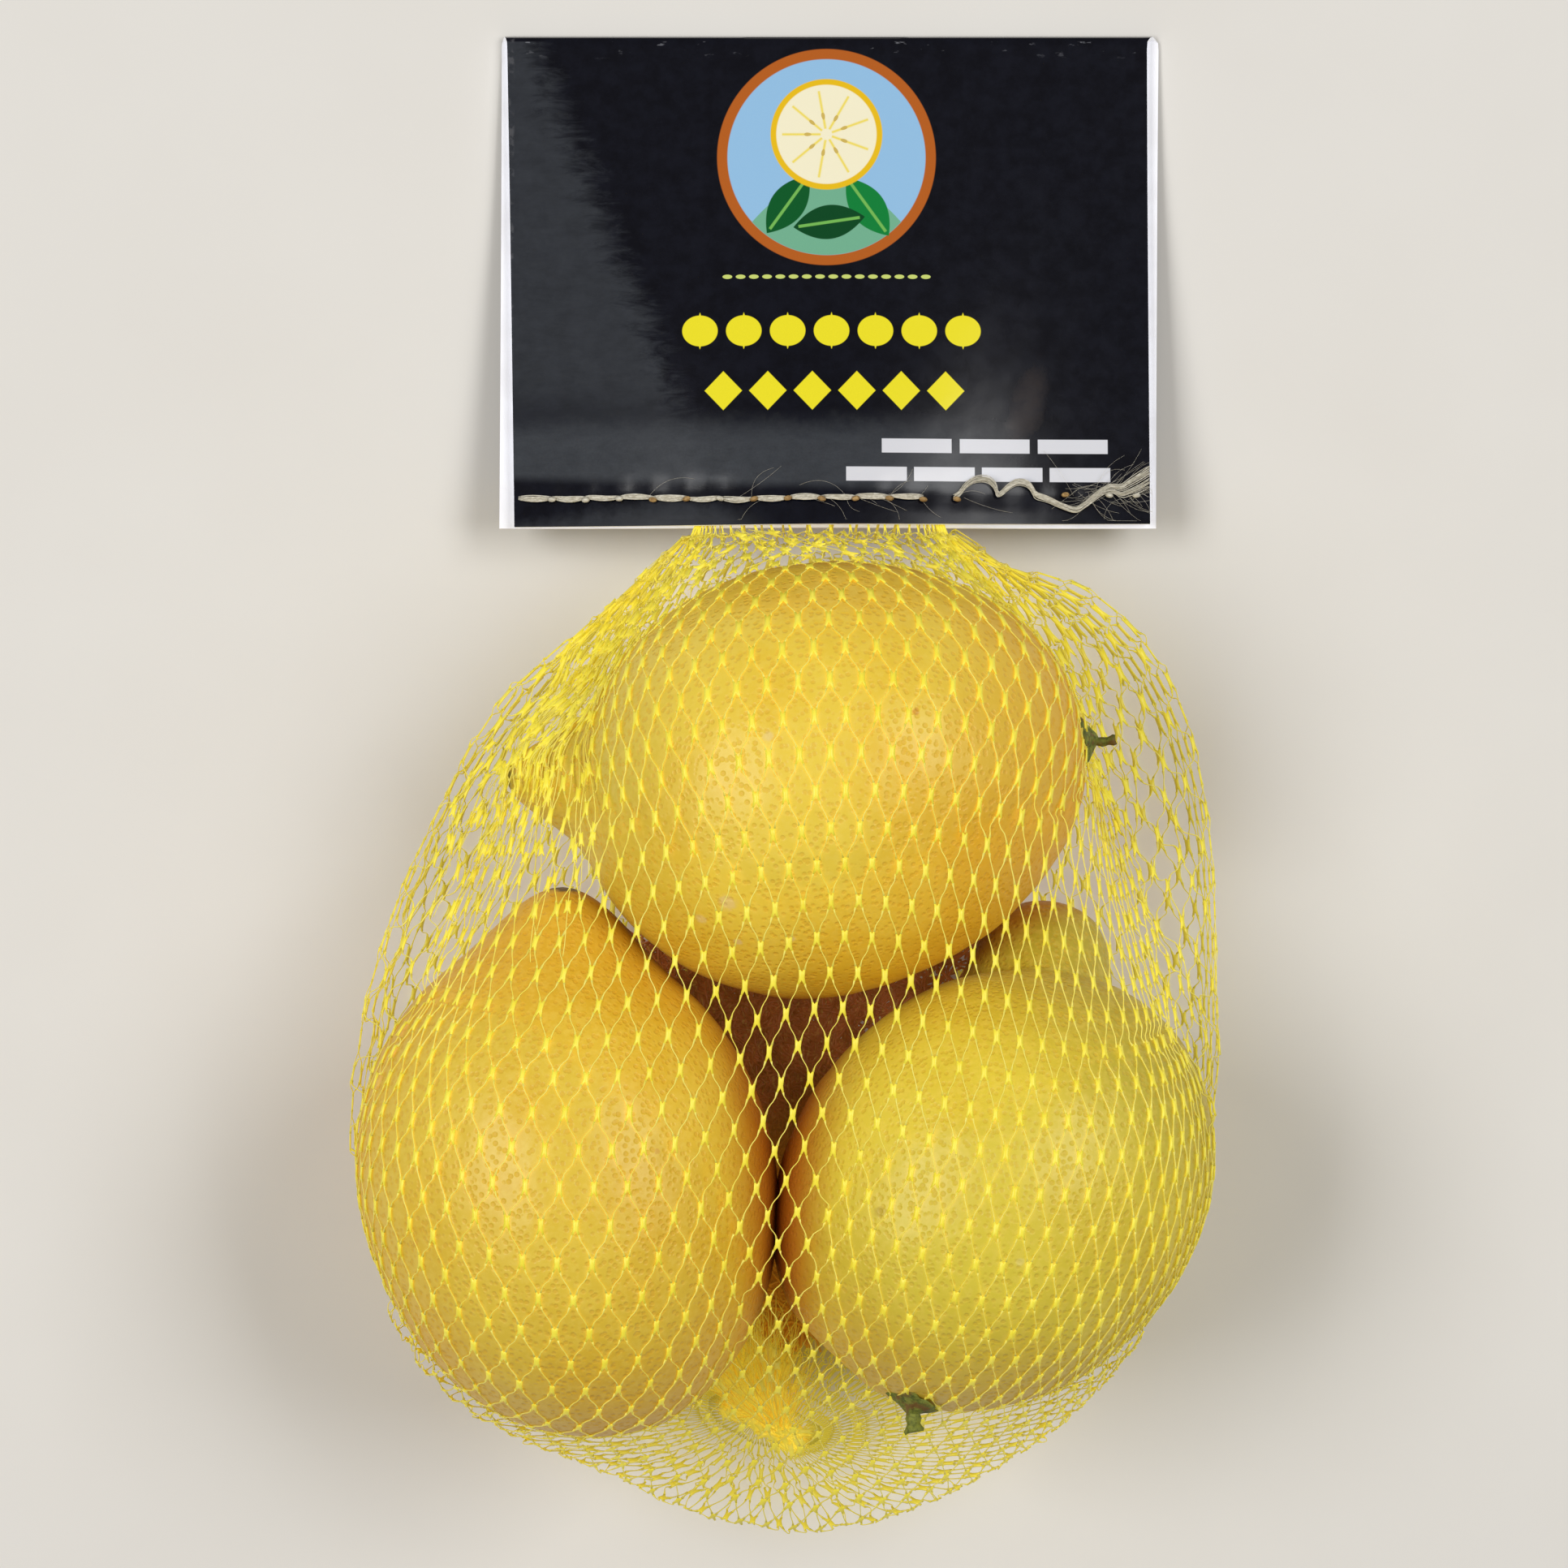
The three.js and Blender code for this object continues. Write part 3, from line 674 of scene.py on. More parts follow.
def medallion(finish, u, v, colour):
    """A ringed round picture of a sky, a low hill and three leaves. u and v are measured from its middle."""
    radius = (u * u + v * v) ** 0.5
    colour = finish.blend(radius.within(RIM_RADIUS), colour, ink["rim"])
    colour = finish.blend(radius.within(SKY_RADIUS), colour, ink["sky"])
    hill = (v + HILL_DOWN + HILL_BOW * u * u).within(0) * radius.within(SKY_RADIUS)
    colour = finish.blend(hill, colour, ink["hill"])
    for lean, (left, low), tone in LEAVES:
        sine, cosine = math.sin(lean), math.cos(lean)
        lengthwise = (u - left) * cosine + (v - low) * sine
        aside = abs((v - low) * cosine - (u - left) * sine)
        leaf = (aside + LEAF_TAPER * lengthwise * lengthwise).within(LEAF_HALF, 0.075)
        rib = aside.within(RIB_HALF, 0.07) * abs(lengthwise).within(RIB_REACH)
        colour = finish.blend(leaf, colour, paint(*tone))
        colour = finish.blend(leaf * rib, colour, ink["rib"])
    return colour


def cut_lemon(finish, u, v, colour):
    """A lemon cut across, with a thin ray and a seed in the middle of each wedge."""
    radius = (u * u + v * v) ** 0.5
    turn = finish.node("ShaderNodeMath", {"operation": "ARCTAN2"}, [v, u]) / FULL_TURN
    aside = (turn * WEDGES).part() - 0.5
    colour = finish.blend(radius.within(PEEL_RADIUS), colour, ink["peel"])
    colour = finish.blend(radius.within(PITH_RADIUS), colour, ink["pith"])
    past_core = radius.step(CORE_RADIUS - 0.1, CORE_RADIUS + 0.1)
    ray = radius.within(RAY_REACH) * past_core * (abs(aside) * radius).step(0.5, 0)
    colour = finish.blend(ray, colour, ink["ray"])
    seed = aside ** 2 * SEED_NARROW + ((radius - SEED_FROM_CORE) / SEED_HALF) ** 2
    return finish.blend(seed.step(0.30, 0.22), colour, ink["seed"])


def in_row(x, row, pitch):
    """How far x is from the middle of the nearest mark in a row."""
    return (((x - row["first"]) / pitch).part() - 0.5) * pitch


def mark_rows(finish, x, y, colour):
    """A row of small fruit with a point above and below, a row of lozenges, and a thin row of dashes."""
    for row in (FRUIT_ROW, LOZENGE_ROW):
        half_wide, half_high = row["half_wide"], row["half_high"]
        aside = in_row(x, row, (row["last"] - row["first"]) / row["count"])
        rise = y - row["middle"]
        if row is FRUIT_ROW:
            body = (aside / half_wide) ** 2 + (rise / (half_high * 0.82)) ** 2
            point = (abs(aside) + abs(rise) * 0.30).step(0.95, 0.80)
            point = point * abs(rise).step(half_high, half_high - 0.15)
            shape = body.within(1, 0.05).highest(point)
        else:
            shape = (abs(aside) / half_wide + abs(rise) / half_high).within(1, 0.03)
        in_line = x.step(row["first"], row["first"] + 0.01) * x.step(row["last"], row["last"] - 0.01)
        colour = finish.blend(shape * in_line, colour, ink["row"])
    row = DASH_ROW
    aside = in_row(x, row, row["pitch"])
    rise = y - row["middle"]
    dash = ((aside / row["half_wide"]) ** 2 + (rise / row["half_high"]) ** 2).within(1)
    in_line = x.step(row["first"], row["first"] + 0.1) * x.step(row["last"], row["last"] - 0.1)
    return finish.blend(dash * in_line, colour, ink["dash"])


def broken_bars(finish, x, y, colour):
    for first, middle, block in BARS:
        solid = ((x - first) / block).part().step(BAR_SHARE, BAR_SHARE - 0.01)
        bar = abs(y - middle).within(BAR_HALF, 0.05) * solid * x.step(first, first + 0.1)
        colour = finish.blend(bar * x.step(BARS_END, BARS_END - 0.1), colour, ink["bar"])
    return colour


def board_paper():
    finish = Finish("board_paper", roughness=0.75, specular=0.25)
    fibre = finish.noise(0.5, 4, 0.7, finish.stretched((1, 0.35, 1)))
    colour = finish.blend(finish.noise(6.0).step(0.35, 0.7), paint(244, 245, 250), paint(236, 236, 240))
    # Painted light: the board glows a little, so that its bare edges stay bright where they face away from the
    # lamps.
    finish.shader.inputs["Emission Strength"].default_value = 0.16
    normal = finish.bump(fibre, 0.03)
    return finish.wear(colour=colour, glow=colour, roughness=0.68 + fibre * 0.15, normal=normal)


ink = {name: paint(*tone) for name, tone in INKS.items()}
card_finishes = [glossy_print("card_printed", True), glossy_print("card_plain", False), board_paper()]
finished(card_sheet(card_finishes), [], "header_card")


# ------------------------------------------------------------------------------------------------ thread
def thread_finish(name, light, dark):
    finish = Finish(name, roughness=0.6, specular=0.35)
    ply = finish.noise(0.25, 2, vector=finish.stretched((0.35, 1, 1)))
    colour = finish.blend(ply.step(0.35, 0.7), paint(*dark), paint(*light))
    return finish.wear(colour=colour, roughness=0.5 + ply * 0.25, normal=finish.bump(ply, 0.04))


def stitch_filaments(draw, side=1):
    """Each stitch is a loose bundle of filaments that dips into the card at its two holes."""
    t = np.linspace(0, 1, 10)
    arch = np.sin(math.pi * t)
    runs = []
    count = int((SEAM_TO - SEAM_FROM) / PITCH)
    for k in range(count):
        slack = draw.uniform(0.7, 1.15)
        sag = draw.uniform(-0.28, 0.1)
        for strand in range(9):
            off = (strand - 4) / 4
            twist = draw.uniform(-0.6, 0.6)
            x = SEAM_FROM + PITCH * (k + t)
            y = SEAM_Y + 0.15 * math.sin(0.7 * k) + sag * arch
            spread = 0.42 * off * (0.45 + 0.55 * arch ** 0.6)
            y = y + spread * np.cos(twist + 1.6 * (t - 0.5) * off) + draw.uniform(-0.08, 0.08)
            rise = 0.42 * slack * arch ** 0.7 - 0.30 * (1 - arch) ** 3 + 0.08 * (strand % 2)
            z = card_middle(x, y) + side * (card_gap(x, y) + BOARD + 0.12 + rise)
            runs.append(np.stack([x, y, z], -1))
    return np.array(runs)


LOOSE_END = [
    (26.2, 44.1), (27.0, 44.6), (28.0, 45.9), (29.6, 46.9), (31.4, 46.9), (32.5, 45.9),
    (32.9, 44.6), (33.3, 44.6), (34.4, 45.6), (36.0, 46.5), (37.6, 46.2), (38.4, 45.2),
    (38.8, 44.5), (40.6, 43.9), (43.2, 42.7), (45.0, 42.2), (46.6, 43.2), (48.4, 44.6),
    (50.4, 45.6), (52.0, 45.2), (53.4, 45.8), (55.0, 46.6), (56.4, 47.4),
]


def loose_filaments(draw):
    route, reached = smooth_path([(x, y, 0) for x, y in LOOSE_END], 60)
    t = reached / reached[-1]
    runs = []
    for strand in range(26):
        off = draw.uniform(-1, 1)
        open_up = 0.42 + 1.5 * smooth(0.76, 1.0, t) + 0.12 * np.sin(9 * t + strand)
        phase = draw.uniform(0, FULL_TURN)
        x = route[:, 0] + 0.14 * np.sin(13 * t + phase)
        y = route[:, 1] + off * open_up + 0.10 * np.sin(17 * t + phase) + draw.uniform(-0.05, 0.05)
        rise = 0.35 + 0.22 * np.cos(11 * t + phase) + 0.3 * smooth(0.7, 1, t) * draw.uniform(0, 1)
        x = np.minimum(x, FRONT_RIGHT + 0.4)
        runs.append(np.stack([x, y, card_face(x, y) + 0.15 + np.maximum(rise, 0.1)], -1))
    return np.array(runs)


def stray_hairs(draw):
    """Fine fibres that have come loose round the seam's frayed end, and a few along the seam."""
    t = np.linspace(0, 1, 14)[:, None]
    runs = []
    for k in range(80):
        if k < 62:
            start = np.array([draw.uniform(44, 55.5), draw.uniform(43.6, 46.6)])
        else:
            start = np.array([draw.uniform(-36, 30), SEAM_Y])
        turn = draw.uniform(-1.0, 1.0) + (0 if draw.random() < 0.8 else math.pi)
        length = draw.uniform(3.0, 8.5)
        heading = np.array([math.cos(turn), math.sin(turn)])
        bend = draw.uniform(-0.45, 0.45) * length
        flat = start + heading * length * t + np.array([-heading[1], heading[0]]) * bend * t * (1 - t) * 2
        x, y = np.clip(flat[:, 0], -41, 56.8), np.clip(flat[:, 1], 40.6, 52)
        runs.append(np.stack([x, y, card_face(x, y) + 0.10 + 0.35 * np.sin(math.pi * t[:, 0])], -1))
    return np.array(runs)


def needle_nubs(draw):
    """The other thread's short loops, which show at the holes."""
    t = np.linspace(0, 1, 6)
    runs, dark = [], []
    spots = [(SEAM_FROM + PITCH * k, k) for k in range(1, 14)] + [(43.4, 14), (50.2, 15), (54.4, 16)]
    for x0, k in spots:
        lean = draw.uniform(-0.5, 0.3)
        y0 = SEAM_Y + (0.5 if k > 13 else -0.25)
        x = x0 - 0.55 + 1.1 * t
        y = y0 + lean * (t - 0.5) + draw.uniform(-0.1, 0.1)
        z = card_face(x, y) + 0.25 + 0.30 * np.sin(math.pi * t)
        runs.append(np.stack([x, y, z], -1))
        dark.append(k in (4, 5, 7, 8, 9, 10, 11, 12, 13, 14))
    return np.array(runs), np.array(dark)


seam_draw = np.random.default_rng(21)
white_thread = thread_finish("thread_white", (226, 222, 208), (186, 180, 162))
tan_thread = thread_finish("thread_tan", (190, 158, 104), (142, 110, 66))
ends = 0.6 + 0.4 * np.sin(math.pi * np.linspace(0, 1, 10)) ** 0.5
tips = 0.35 + 0.65 * np.sin(math.pi * np.linspace(0, 1, 6)) ** 0.5
nubs, tan = needle_nubs(seam_draw)
piece("seam_stitches", *joined([
    tubes(stitch_filaments(seam_draw), 0.105 * ends, 6),
    tubes(loose_filaments(seam_draw), 0.062, 5),
    tubes(stray_hairs(seam_draw), 0.016, 4),
    tubes(nubs[~tan], 0.40 * tips, 8),
    tubes(stitch_filaments(seam_draw, -1), 0.125 * ends, 5)]), [white_thread], "thread", "seam_thread")
piece("needle_loops", *tubes(nubs[tan], 0.42 * tips, 8), [tan_thread], "thread", "seam_thread")


# ------------------------------------------------------------------------------------------------ stems
def stem_finish():
    finish = Finish("calyx_green", roughness=0.62, specular=0.35)
    vein = finish.noise(0.9, 4, 0.65)
    patch = finish.noise(2.4, 3, 0.6)
    colour = finish.blend(vein.step(0.35, 0.68), paint(132, 138, 52), paint(76, 86, 30))
    colour = finish.blend(patch.step(0.50, 0.66) * 0.85, colour, paint(118, 80, 38))
    normal = finish.bump(vein, 0.22)
    return finish.wear(colour=colour, roughness=0.5 + 0.3 * vein, normal=normal)


def add_stem(key, radius, thick, stub_radius, stub_length, lean, seed, finish):
    """A star-shaped calyx that hugs the skin, and the cut stub of the stalk."""
    lemon = FRUIT[key]
    towards = unit(STEM_AT[key])
    base = np.array(lemon["at"]) + towards * skin_reach(key, towards[None])[0]
    flat_y = unit(np.cross(towards, [0, 0, 1.0]))
    flat_x = np.cross(flat_y, towards)
    bpy.ops.mesh.primitive_uv_sphere_add(segments=60, ring_count=18, radius=1.0, location=(0, 0, 0))
    made = bpy.context.active_object
    made.name = made.data.name = "calyx_" + key
    ball = np.zeros(len(made.data.vertices) * 3)
    made.data.vertices.foreach_get("co", ball)
    ball = ball.reshape(-1, 3)
    turn = np.arctan2(ball[:, 1], ball[:, 0])
    lobes = 1 + 0.18 * np.cos(5 * turn + seed) + 0.08 * np.sin(3 * turn + 2 * seed) + 0.05 * np.sin(11 * turn)
    out = np.hypot(ball[:, 0], ball[:, 1]) * radius * lobes
    hug = -(out ** 2) / (2 * 0.62 * lemon["round"])
    dome = thick * ball[:, 2] * (0.62 - 0.34 * np.hypot(ball[:, 0], ball[:, 1]))
    dome = dome + 0.75 * np.exp(-(out / 1.5) ** 2)
    curl = 0.35 * np.sin(2 * turn + seed) * (out / radius) ** 2
    up = hug + np.where(ball[:, 2] > 0, dome, 0.4 * ball[:, 2]) + curl + 0.15
    outwards = flat_x * np.cos(turn)[:, None] + flat_y * np.sin(turn)[:, None]
    points = base + towards * up[:, None] + outwards * out[:, None]
    points += 0.10 * lumps(points, seed, 2.0)[:, None] * towards
    made.data.vertices.foreach_set("co", ((points + SHIFT) * MM).ravel())
    made.data.shade_smooth()
    made.select_set(False)
    finished(made, [finish], "net_bag")
    t = np.linspace(0, 1, 12)[:, None]
    tip = towards * stub_length + (flat_x * lean[0] + flat_y * lean[1])
    middle = base + towards * 0.2
    run = middle + tip * t + flat_y * 0.25 * np.sin(math.pi * t)
    swell = stub_radius * (1.25 - 0.45 * np.sin(math.pi * t[:, 0]) + 0.10 * np.sin(15 * t[:, 0]))
    swell[-1] *= 0.8
    points, faces = tubes(run[None], swell, 16)
    points += 0.22 * lumps(points, seed + 5, 1.6)[:, None] * unit(points - middle - tip / 2)
    piece("stub_" + key, points, faces, [finish], "stem", "net_bag")


calyx = stem_finish()
add_stem("across", 4.0, 2.5, 0.72, 4.6, (0.2, 0.6), 1, calyx)
add_stem("right", 3.6, 2.2, 1.25, 4.0, (-0.6, -1.7), 4, calyx)


# ------------------------------------------------------------------------------------------------ net
def edge_path(rows):
    return smooth_path([(x, y, z) for y, x, z in rows] + [(FOOT[1], FOOT[0], FOOT[2])], 400)


def column_angle(column):
    """0 at the right edge, pi at the left edge, the front between them."""
    column = np.asarray(column, float) % COLUMNS
    behind = math.pi * (column - LEFT_COLUMN) / (COLUMNS - LEFT_COLUMN)
    return np.where(column <= LEFT_COLUMN, math.pi * column / LEFT_COLUMN, math.pi + behind)


right_path, left_path = edge_path(RIGHT_EDGE), edge_path(LEFT_EDGE)
right_from, left_from = ROW_ON_RIGHT * RIGHT_LEAVES, ROW_ON_LEFT * LEFT_LEAVES
foot_path = measured(np.concatenate([
    along(right_path, np.linspace(right_from, right_path[1][-1], 200)),
    along(left_path, np.linspace(left_path[1][-1], left_from, 200))]))

row, column = np.mgrid[0:ROWS, 0:COLUMNS]
angle = column_angle(column + 0.5 * (row % 2))
share = np.where(angle <= math.pi, angle, FULL_TURN - angle) / math.pi      # from 0, right, to 1, left
in_front = np.sin(angle) > 0
leaves = mix(RIGHT_LEAVES, LEFT_LEAVES, share)
fold_row = leaves + (FOOT_ROW - leaves) * np.maximum(0, np.sin(angle)) ** 0.75
beside = (column + np.where(row % 2, 1, -1)) % COLUMNS
up, low = np.maximum(row - 1, 0), np.minimum(row + 1, ROWS - 1)
NEIGHBOURS = [(up, column), (up, beside), (low, column), (low, beside)]


def on_foot(part):
    return along(foot_path, np.clip(part, 0, 1) * foot_path[1][-1])


def mouth_ring():
    turn = column_angle(np.arange(COLUMNS))
    c, s = np.cos(turn), np.sin(turn)
    x = MOUTH_X + MOUTH_HALF * np.tanh(2.2 * c) / math.tanh(2.2)
    z = card_middle(x, MOUTH_Y) + 0.8 * np.sign(s) * np.minimum(1, 3 * np.abs(s))
    return np.stack([x, np.full(COLUMNS, MOUTH_Y), z], -1)


def gather_ring():
    turn = column_angle(np.arange(COLUMNS) + 0.5 * ((ROWS - 1) % 2))
    along_it = GATHER_HALF * np.cos(turn)[:, None] * GATHER_ALONG
    return GATHER + along_it + GATHER_THICK * np.sin(turn)[:, None] * GATHER_ACROSS


def first_lay():
    """A rough guess at where the knots are, before the net is drawn tight."""
    s, c = np.sin(angle)[..., None], np.cos(angle)[..., None]
    u = share[..., None]
    foot = on_foot(share)
    gathered = GATHER + GATHER_HALF * c * GATHER_ALONG + GATHER_THICK * s * GATHER_ACROSS
    t = (row / fold_row)[..., None]
    tied = np.minimum(1, t)
    sides = mix(along(right_path, tied[..., 0] * right_from), along(left_path, tied[..., 0] * left_from), u)
    over = mix(sides, foot, tied ** 3)
    over[..., 2:] += FIRST_ARCH * np.abs(s) ** 0.7 * np.minimum(1, 6 * tied) * np.minimum(1, 5 * (1 - tied))
    rest = ((row - fold_row) / (ROWS - 1 - fold_row))[..., None]
    front = np.where(t <= 1, over, mix(foot, gathered, rest))
    right_side = along(right_path, np.minimum(1, row / RIGHT_LEAVES) * right_from)
    left_side = along(left_path, np.minimum(1, row / LEFT_LEAVES) * left_from)
    sides = mix(right_side, left_side, u)
    bottom = sides.copy()
    bottom[..., 1] = mix(MOUTH_Y, GATHER[1], row / (ROWS - 1))
    bottom[..., 2] = 0.5
    back = mix(sides, bottom, np.abs(s))
    back[..., 2] = sides[..., 2] * (1 - np.abs(s[..., 0]) ** 0.5)
    back = mix(back, gathered, np.clip((row - 25) / (ROWS - 26), 0, 1)[..., None])
    knots = np.where(in_front[..., None] | (s > -1e-9), front, back)
    knots[..., 2] = np.maximum(knots[..., 2], 0.3)
    return knots + np.random.default_rng(3).normal(0, 0.03, knots.shape)


def held_knots():
    """Which knots are held on the bag's outline, and where."""
    held, place = np.zeros((ROWS, COLUMNS), bool), np.zeros((ROWS, COLUMNS, 3))
    for side, path, pitch, last in ((0, right_path, ROW_ON_RIGHT, RIGHT_LEAVES),
                                    (LEFT_COLUMN, left_path, ROW_ON_LEFT, LEFT_LEAVES)):
        rows = np.arange(1, last + 1)
        held[rows, side], place[rows, side] = True, along(path, pitch * rows)
    for j in range(1, LEFT_COLUMN):
        middle = mix(RIGHT_LEAVES, LEFT_LEAVES, j / LEFT_COLUMN)
        middle += (FOOT_ROW - middle) * math.sin(math.pi * j / LEFT_COLUMN) ** 0.75
        for i in (int(middle), int(middle) + 1):
            if i >= ROWS - 1:
                continue
            point = on_foot((j + 0.5 * (i % 2)) / LEFT_COLUMN)
            inward = unit([GATHER[0] - point[0], -85.0 - point[1], 0])
            off = abs(i - middle)
            held[i, j] = True
            rise = 2.0 if i < middle else -2.0
            place[i, j] = point + 0.6 * off * inward + rise * off * np.array([0, 0, 1])
    return held, place


def room_wanted():
    """How wide each mesh wants to be, beside its neighbours: the net is bunched where it leaves the neck."""
    from_edge = np.minimum(np.abs(share * LEFT_COLUMN), np.abs((1 - share) * LEFT_COLUMN))
    bunched = smooth(BUNCH_COLUMNS[1], BUNCH_COLUMNS[0], from_edge)
    bunched = bunched * smooth(BUNCH_ROWS[1], BUNCH_ROWS[0], row)
    lengthwise = smooth(5, 9, row) * smooth(26, 18, row) * in_front
    open_edge = 1 + 0.7 * smooth(3.4, 2.2, from_edge) * lengthwise
    rope = 1 - 0.3 * smooth(2.4, 3.4, from_edge) * smooth(9.5, 7.5, from_edge) * lengthwise
    wide = np.where(in_front, 0.20 * smooth(*WIDE_ROWS, row) * np.sin(math.pi * (2 * share - 0.95)), 0)
    return (1 - 0.6 * bunched) * open_edge * rope * (1 + wide)


def draw_tight(knots, steps):
    """Relaxes the net over the fruit and the floor, with its mouth, its gathered end and its outline held."""
    held, place = held_knots()
    mouth, gathered = mouth_ring(), gather_ring()
    falls = np.where(in_front & (row < fold_row), 0.01, 0.12)

    room = room_wanted()[..., None]
    room_before = np.roll(room, 1, axis=1)

    def hold():
        knots[0], knots[-1] = mouth, gathered

    for step in range(steps):
        pull = sum(knots[n] for n in NEIGHBOURS) - 4 * knots
        knots[1:-1] += (0.10 if step < 0.6 * steps else 0.03) * pull[1:-1]
        after, before = np.roll(knots, -1, axis=1), np.roll(knots, 1, axis=1)
        uneven = (np.linalg.norm(after - knots, axis=2, keepdims=True) * room_before
                  - np.linalg.norm(knots - before, axis=2, keepdims=True) * room)
        knots[1:-1] += (0.80 / (room + room_before) * uneven * unit(after - before))[1:-1]
        above, below = knots[:-4], knots[4:]
        uneven = (np.linalg.norm(below - knots[2:-2], axis=2, keepdims=True)
                  - np.linalg.norm(knots[2:-2] - above, axis=2, keepdims=True))
        knots[2:-2] += 0.05 * uneven * unit(below - above)
        knots[..., 2] -= falls
        knots[held] += 0.6 * (place - knots)[held]
        for _ in range(3):
            shift = np.zeros_like(knots)
            for n in NEIGHBOURS:
                span = knots[n] - knots
                length = np.maximum(np.linalg.norm(span, axis=2, keepdims=True), 1e-6)
                shift += 0.5 * np.maximum(0, length - STRAND) / length * span
            knots += 0.7 * shift
            hold()
        push_out(knots, 0.28)
        knots[..., 2] = np.maximum(knots[..., 2], 0.24)
        hold()
    return knots


def into_card(knots):
    """Adds the two rows of knots that lie between the card's panels."""
    mouth = knots[0]
    between = (mouth + np.roll(mouth, -1, axis=0)) / 2
    rows = []
    for count, base in ((2, mouth), (1, between)):
        x, y = base[:, 0], base[:, 1] + 5.3 * count
        z = card_middle(x, y) + (base[:, 2] - card_middle(x, base[:, 1]))
        rows.append(np.stack([x, y, z], -1))
    return np.concatenate([np.stack(rows), knots])


def net_frames(knots):
    """Directions at each knot: along its row, down its column, and out of the net."""
    rows, columns = np.mgrid[0:len(knots), 0:COLUMNS]
    side = (columns + np.where(rows % 2, 1, -1)) % COLUMNS
    above, below = np.maximum(rows - 1, 0), np.minimum(rows + 1, len(knots) - 1)
    v = unit(knots[below, columns] + knots[below, side] - knots[above, columns] - knots[above, side])
    u = np.roll(knots, -1, axis=1) - np.roll(knots, 1, axis=1)
    u = unit(u - (u * v).sum(-1, keepdims=True) * v)
    return u, v, np.cross(u, v)


WEB = [(0.66, 1.24), (0.42, 0.1), (0.50, -1.22), (0.28, -1.22), (0.0, -0.84), (-0.28, -1.22),
       (-0.50, -1.22), (-0.42, 0.1), (-0.66, 1.24), (-0.42, 1.26), (0.0, 0.54), (0.42, 1.26)]
WEB_FAN = [(12, 0, 11), (12, 1, 0), (12, 13, 1), (13, 2, 1), (13, 3, 2), (13, 4, 3), (13, 5, 4), (13, 6, 5),
           (13, 7, 6), (13, 12, 7), (12, 8, 7), (12, 9, 8), (12, 10, 9), (12, 11, 10)]


def webs(knots, frames, size):
    """The flat webs where two strands are fused: a plate with notched ends and hollow sides."""
    outline = np.array(WEB + [(0.0, 0.3), (0.0, -0.3)])
    lift = np.full(14, WEB_HALF_THICK)
    lift[12:] += WEB_CROWN
    top = np.column_stack([outline, lift])
    shape = np.concatenate([top, top * [1, 1, -1]])
    faces = list(WEB_FAN) + [tuple(v + 14 for v in face[::-1]) for face in WEB_FAN]
    faces += [(k, (k + 1) % 12, (k + 1) % 12 + 14, k + 14) for k in range(12)]
    shapes = shape[None] * size
    basis = np.stack([f.reshape(-1, 3) for f in frames], axis=1)
    return copies(shapes, faces, knots.reshape(-1, 3), basis)


def strands(knots, frames, size, segments, draw):
    """The runs between the webs, curved at both ends, with the row and column that each starts at."""
    u, v, n = frames
    width, height = (size[..., k].reshape(knots.shape[:2] + (1,)) for k in (0, 1))
    t = np.linspace(0, 1, segments + 1)[:, None]
    runs, outs, starts = [], [], []
    for i in range(len(knots) - 1):
        for side in (1, -1):
            turn = (0 if side == 1 else 1) if i % 2 == 0 else (-1 if side == 1 else 0)
            other = np.roll(np.arange(COLUMNS), turn)
            here, there = (i, np.arange(COLUMNS)), (i + 1, other)
            start = knots[here] + LEAVES_WEB[1] * height[here] * v[here]
            start = start + LEAVES_WEB[0] * side * width[here] * u[here]
            end = knots[there] - REACHES_WEB[1] * height[there] * v[there]
            end = end - REACHES_WEB[0] * side * width[there] * u[there]
            chord = np.linalg.norm(end - start, axis=1, keepdims=True)
            leaving = unit(v[here] + 0.12 * side * u[here]) * chord * CURL[side]
            arriving = unit(v[there] + 0.12 * side * u[there]) * chord * CURL[side]
            run = hermite(start[:, None], end[:, None], leaving[:, None], arriving[:, None], t)
            spare = np.maximum(0, SLACK_BELOW - chord)
            bow = np.minimum(BOW_LIMIT, np.sqrt(0.375 * chord * spare)) * draw.choice([-1, 1], chord.shape)
            way = draw.uniform(-1, 1, chord.shape)
            aside = u[here] * np.cos(way) + n[here] * np.sin(way)
            run = run + (bow * aside)[:, None] * np.sin(math.pi * t)
            runs.append(run)
            outs.append(mix(n[here][:, None], n[there][:, None], t))
            starts.append(np.stack([np.full(COLUMNS, i), np.arange(COLUMNS)], -1))
    return np.concatenate(runs), np.concatenate(outs), np.concatenate(starts)


def net_plastic(name, light, dark, glow, patch=9.0, low_share=0.75, band=None):
    """Soft plastic with drawn-out streaks. It glows a little, in place of the light that it lets through.

    Shade is painted on its low parts, and along y where a band is given. A band says where it starts and is
    full, its strength and its colour.
    """
    finish = Finish(name, roughness=0.34, specular=0.45)
    finish.shader.inputs["Emission Strength"].default_value = glow
    streak = finish.noise(0.5, 2, vector=finish.stretched((1, 0.25, 1)))
    tone = finish.noise(patch, 2)
    colour = finish.blend(tone.step(0.3, 0.7), paint(*light), paint(*dark))
    colour = finish.blend(streak.step(0.5, 0.8) * 0.35, colour, paint(250, 238, 120))
    _, y, z = finish.xyz()
    low = z.step(15, 5) * low_share
    colour = finish.blend(low, colour, paint(216, 202, 72))
    if band:
        first, last, share, tone = band
        colour = finish.blend(y.step(first, last) * share, colour, paint(*tone))
    inner = finish.blend(0.5, colour, finish.blend(low, paint(240, 210, 58), paint(226, 216, 62)))
    normal = finish.bump(streak, 0.03)
    return finish.wear(colour=colour, glow=inner, roughness=0.30 + streak * 0.2, normal=normal)


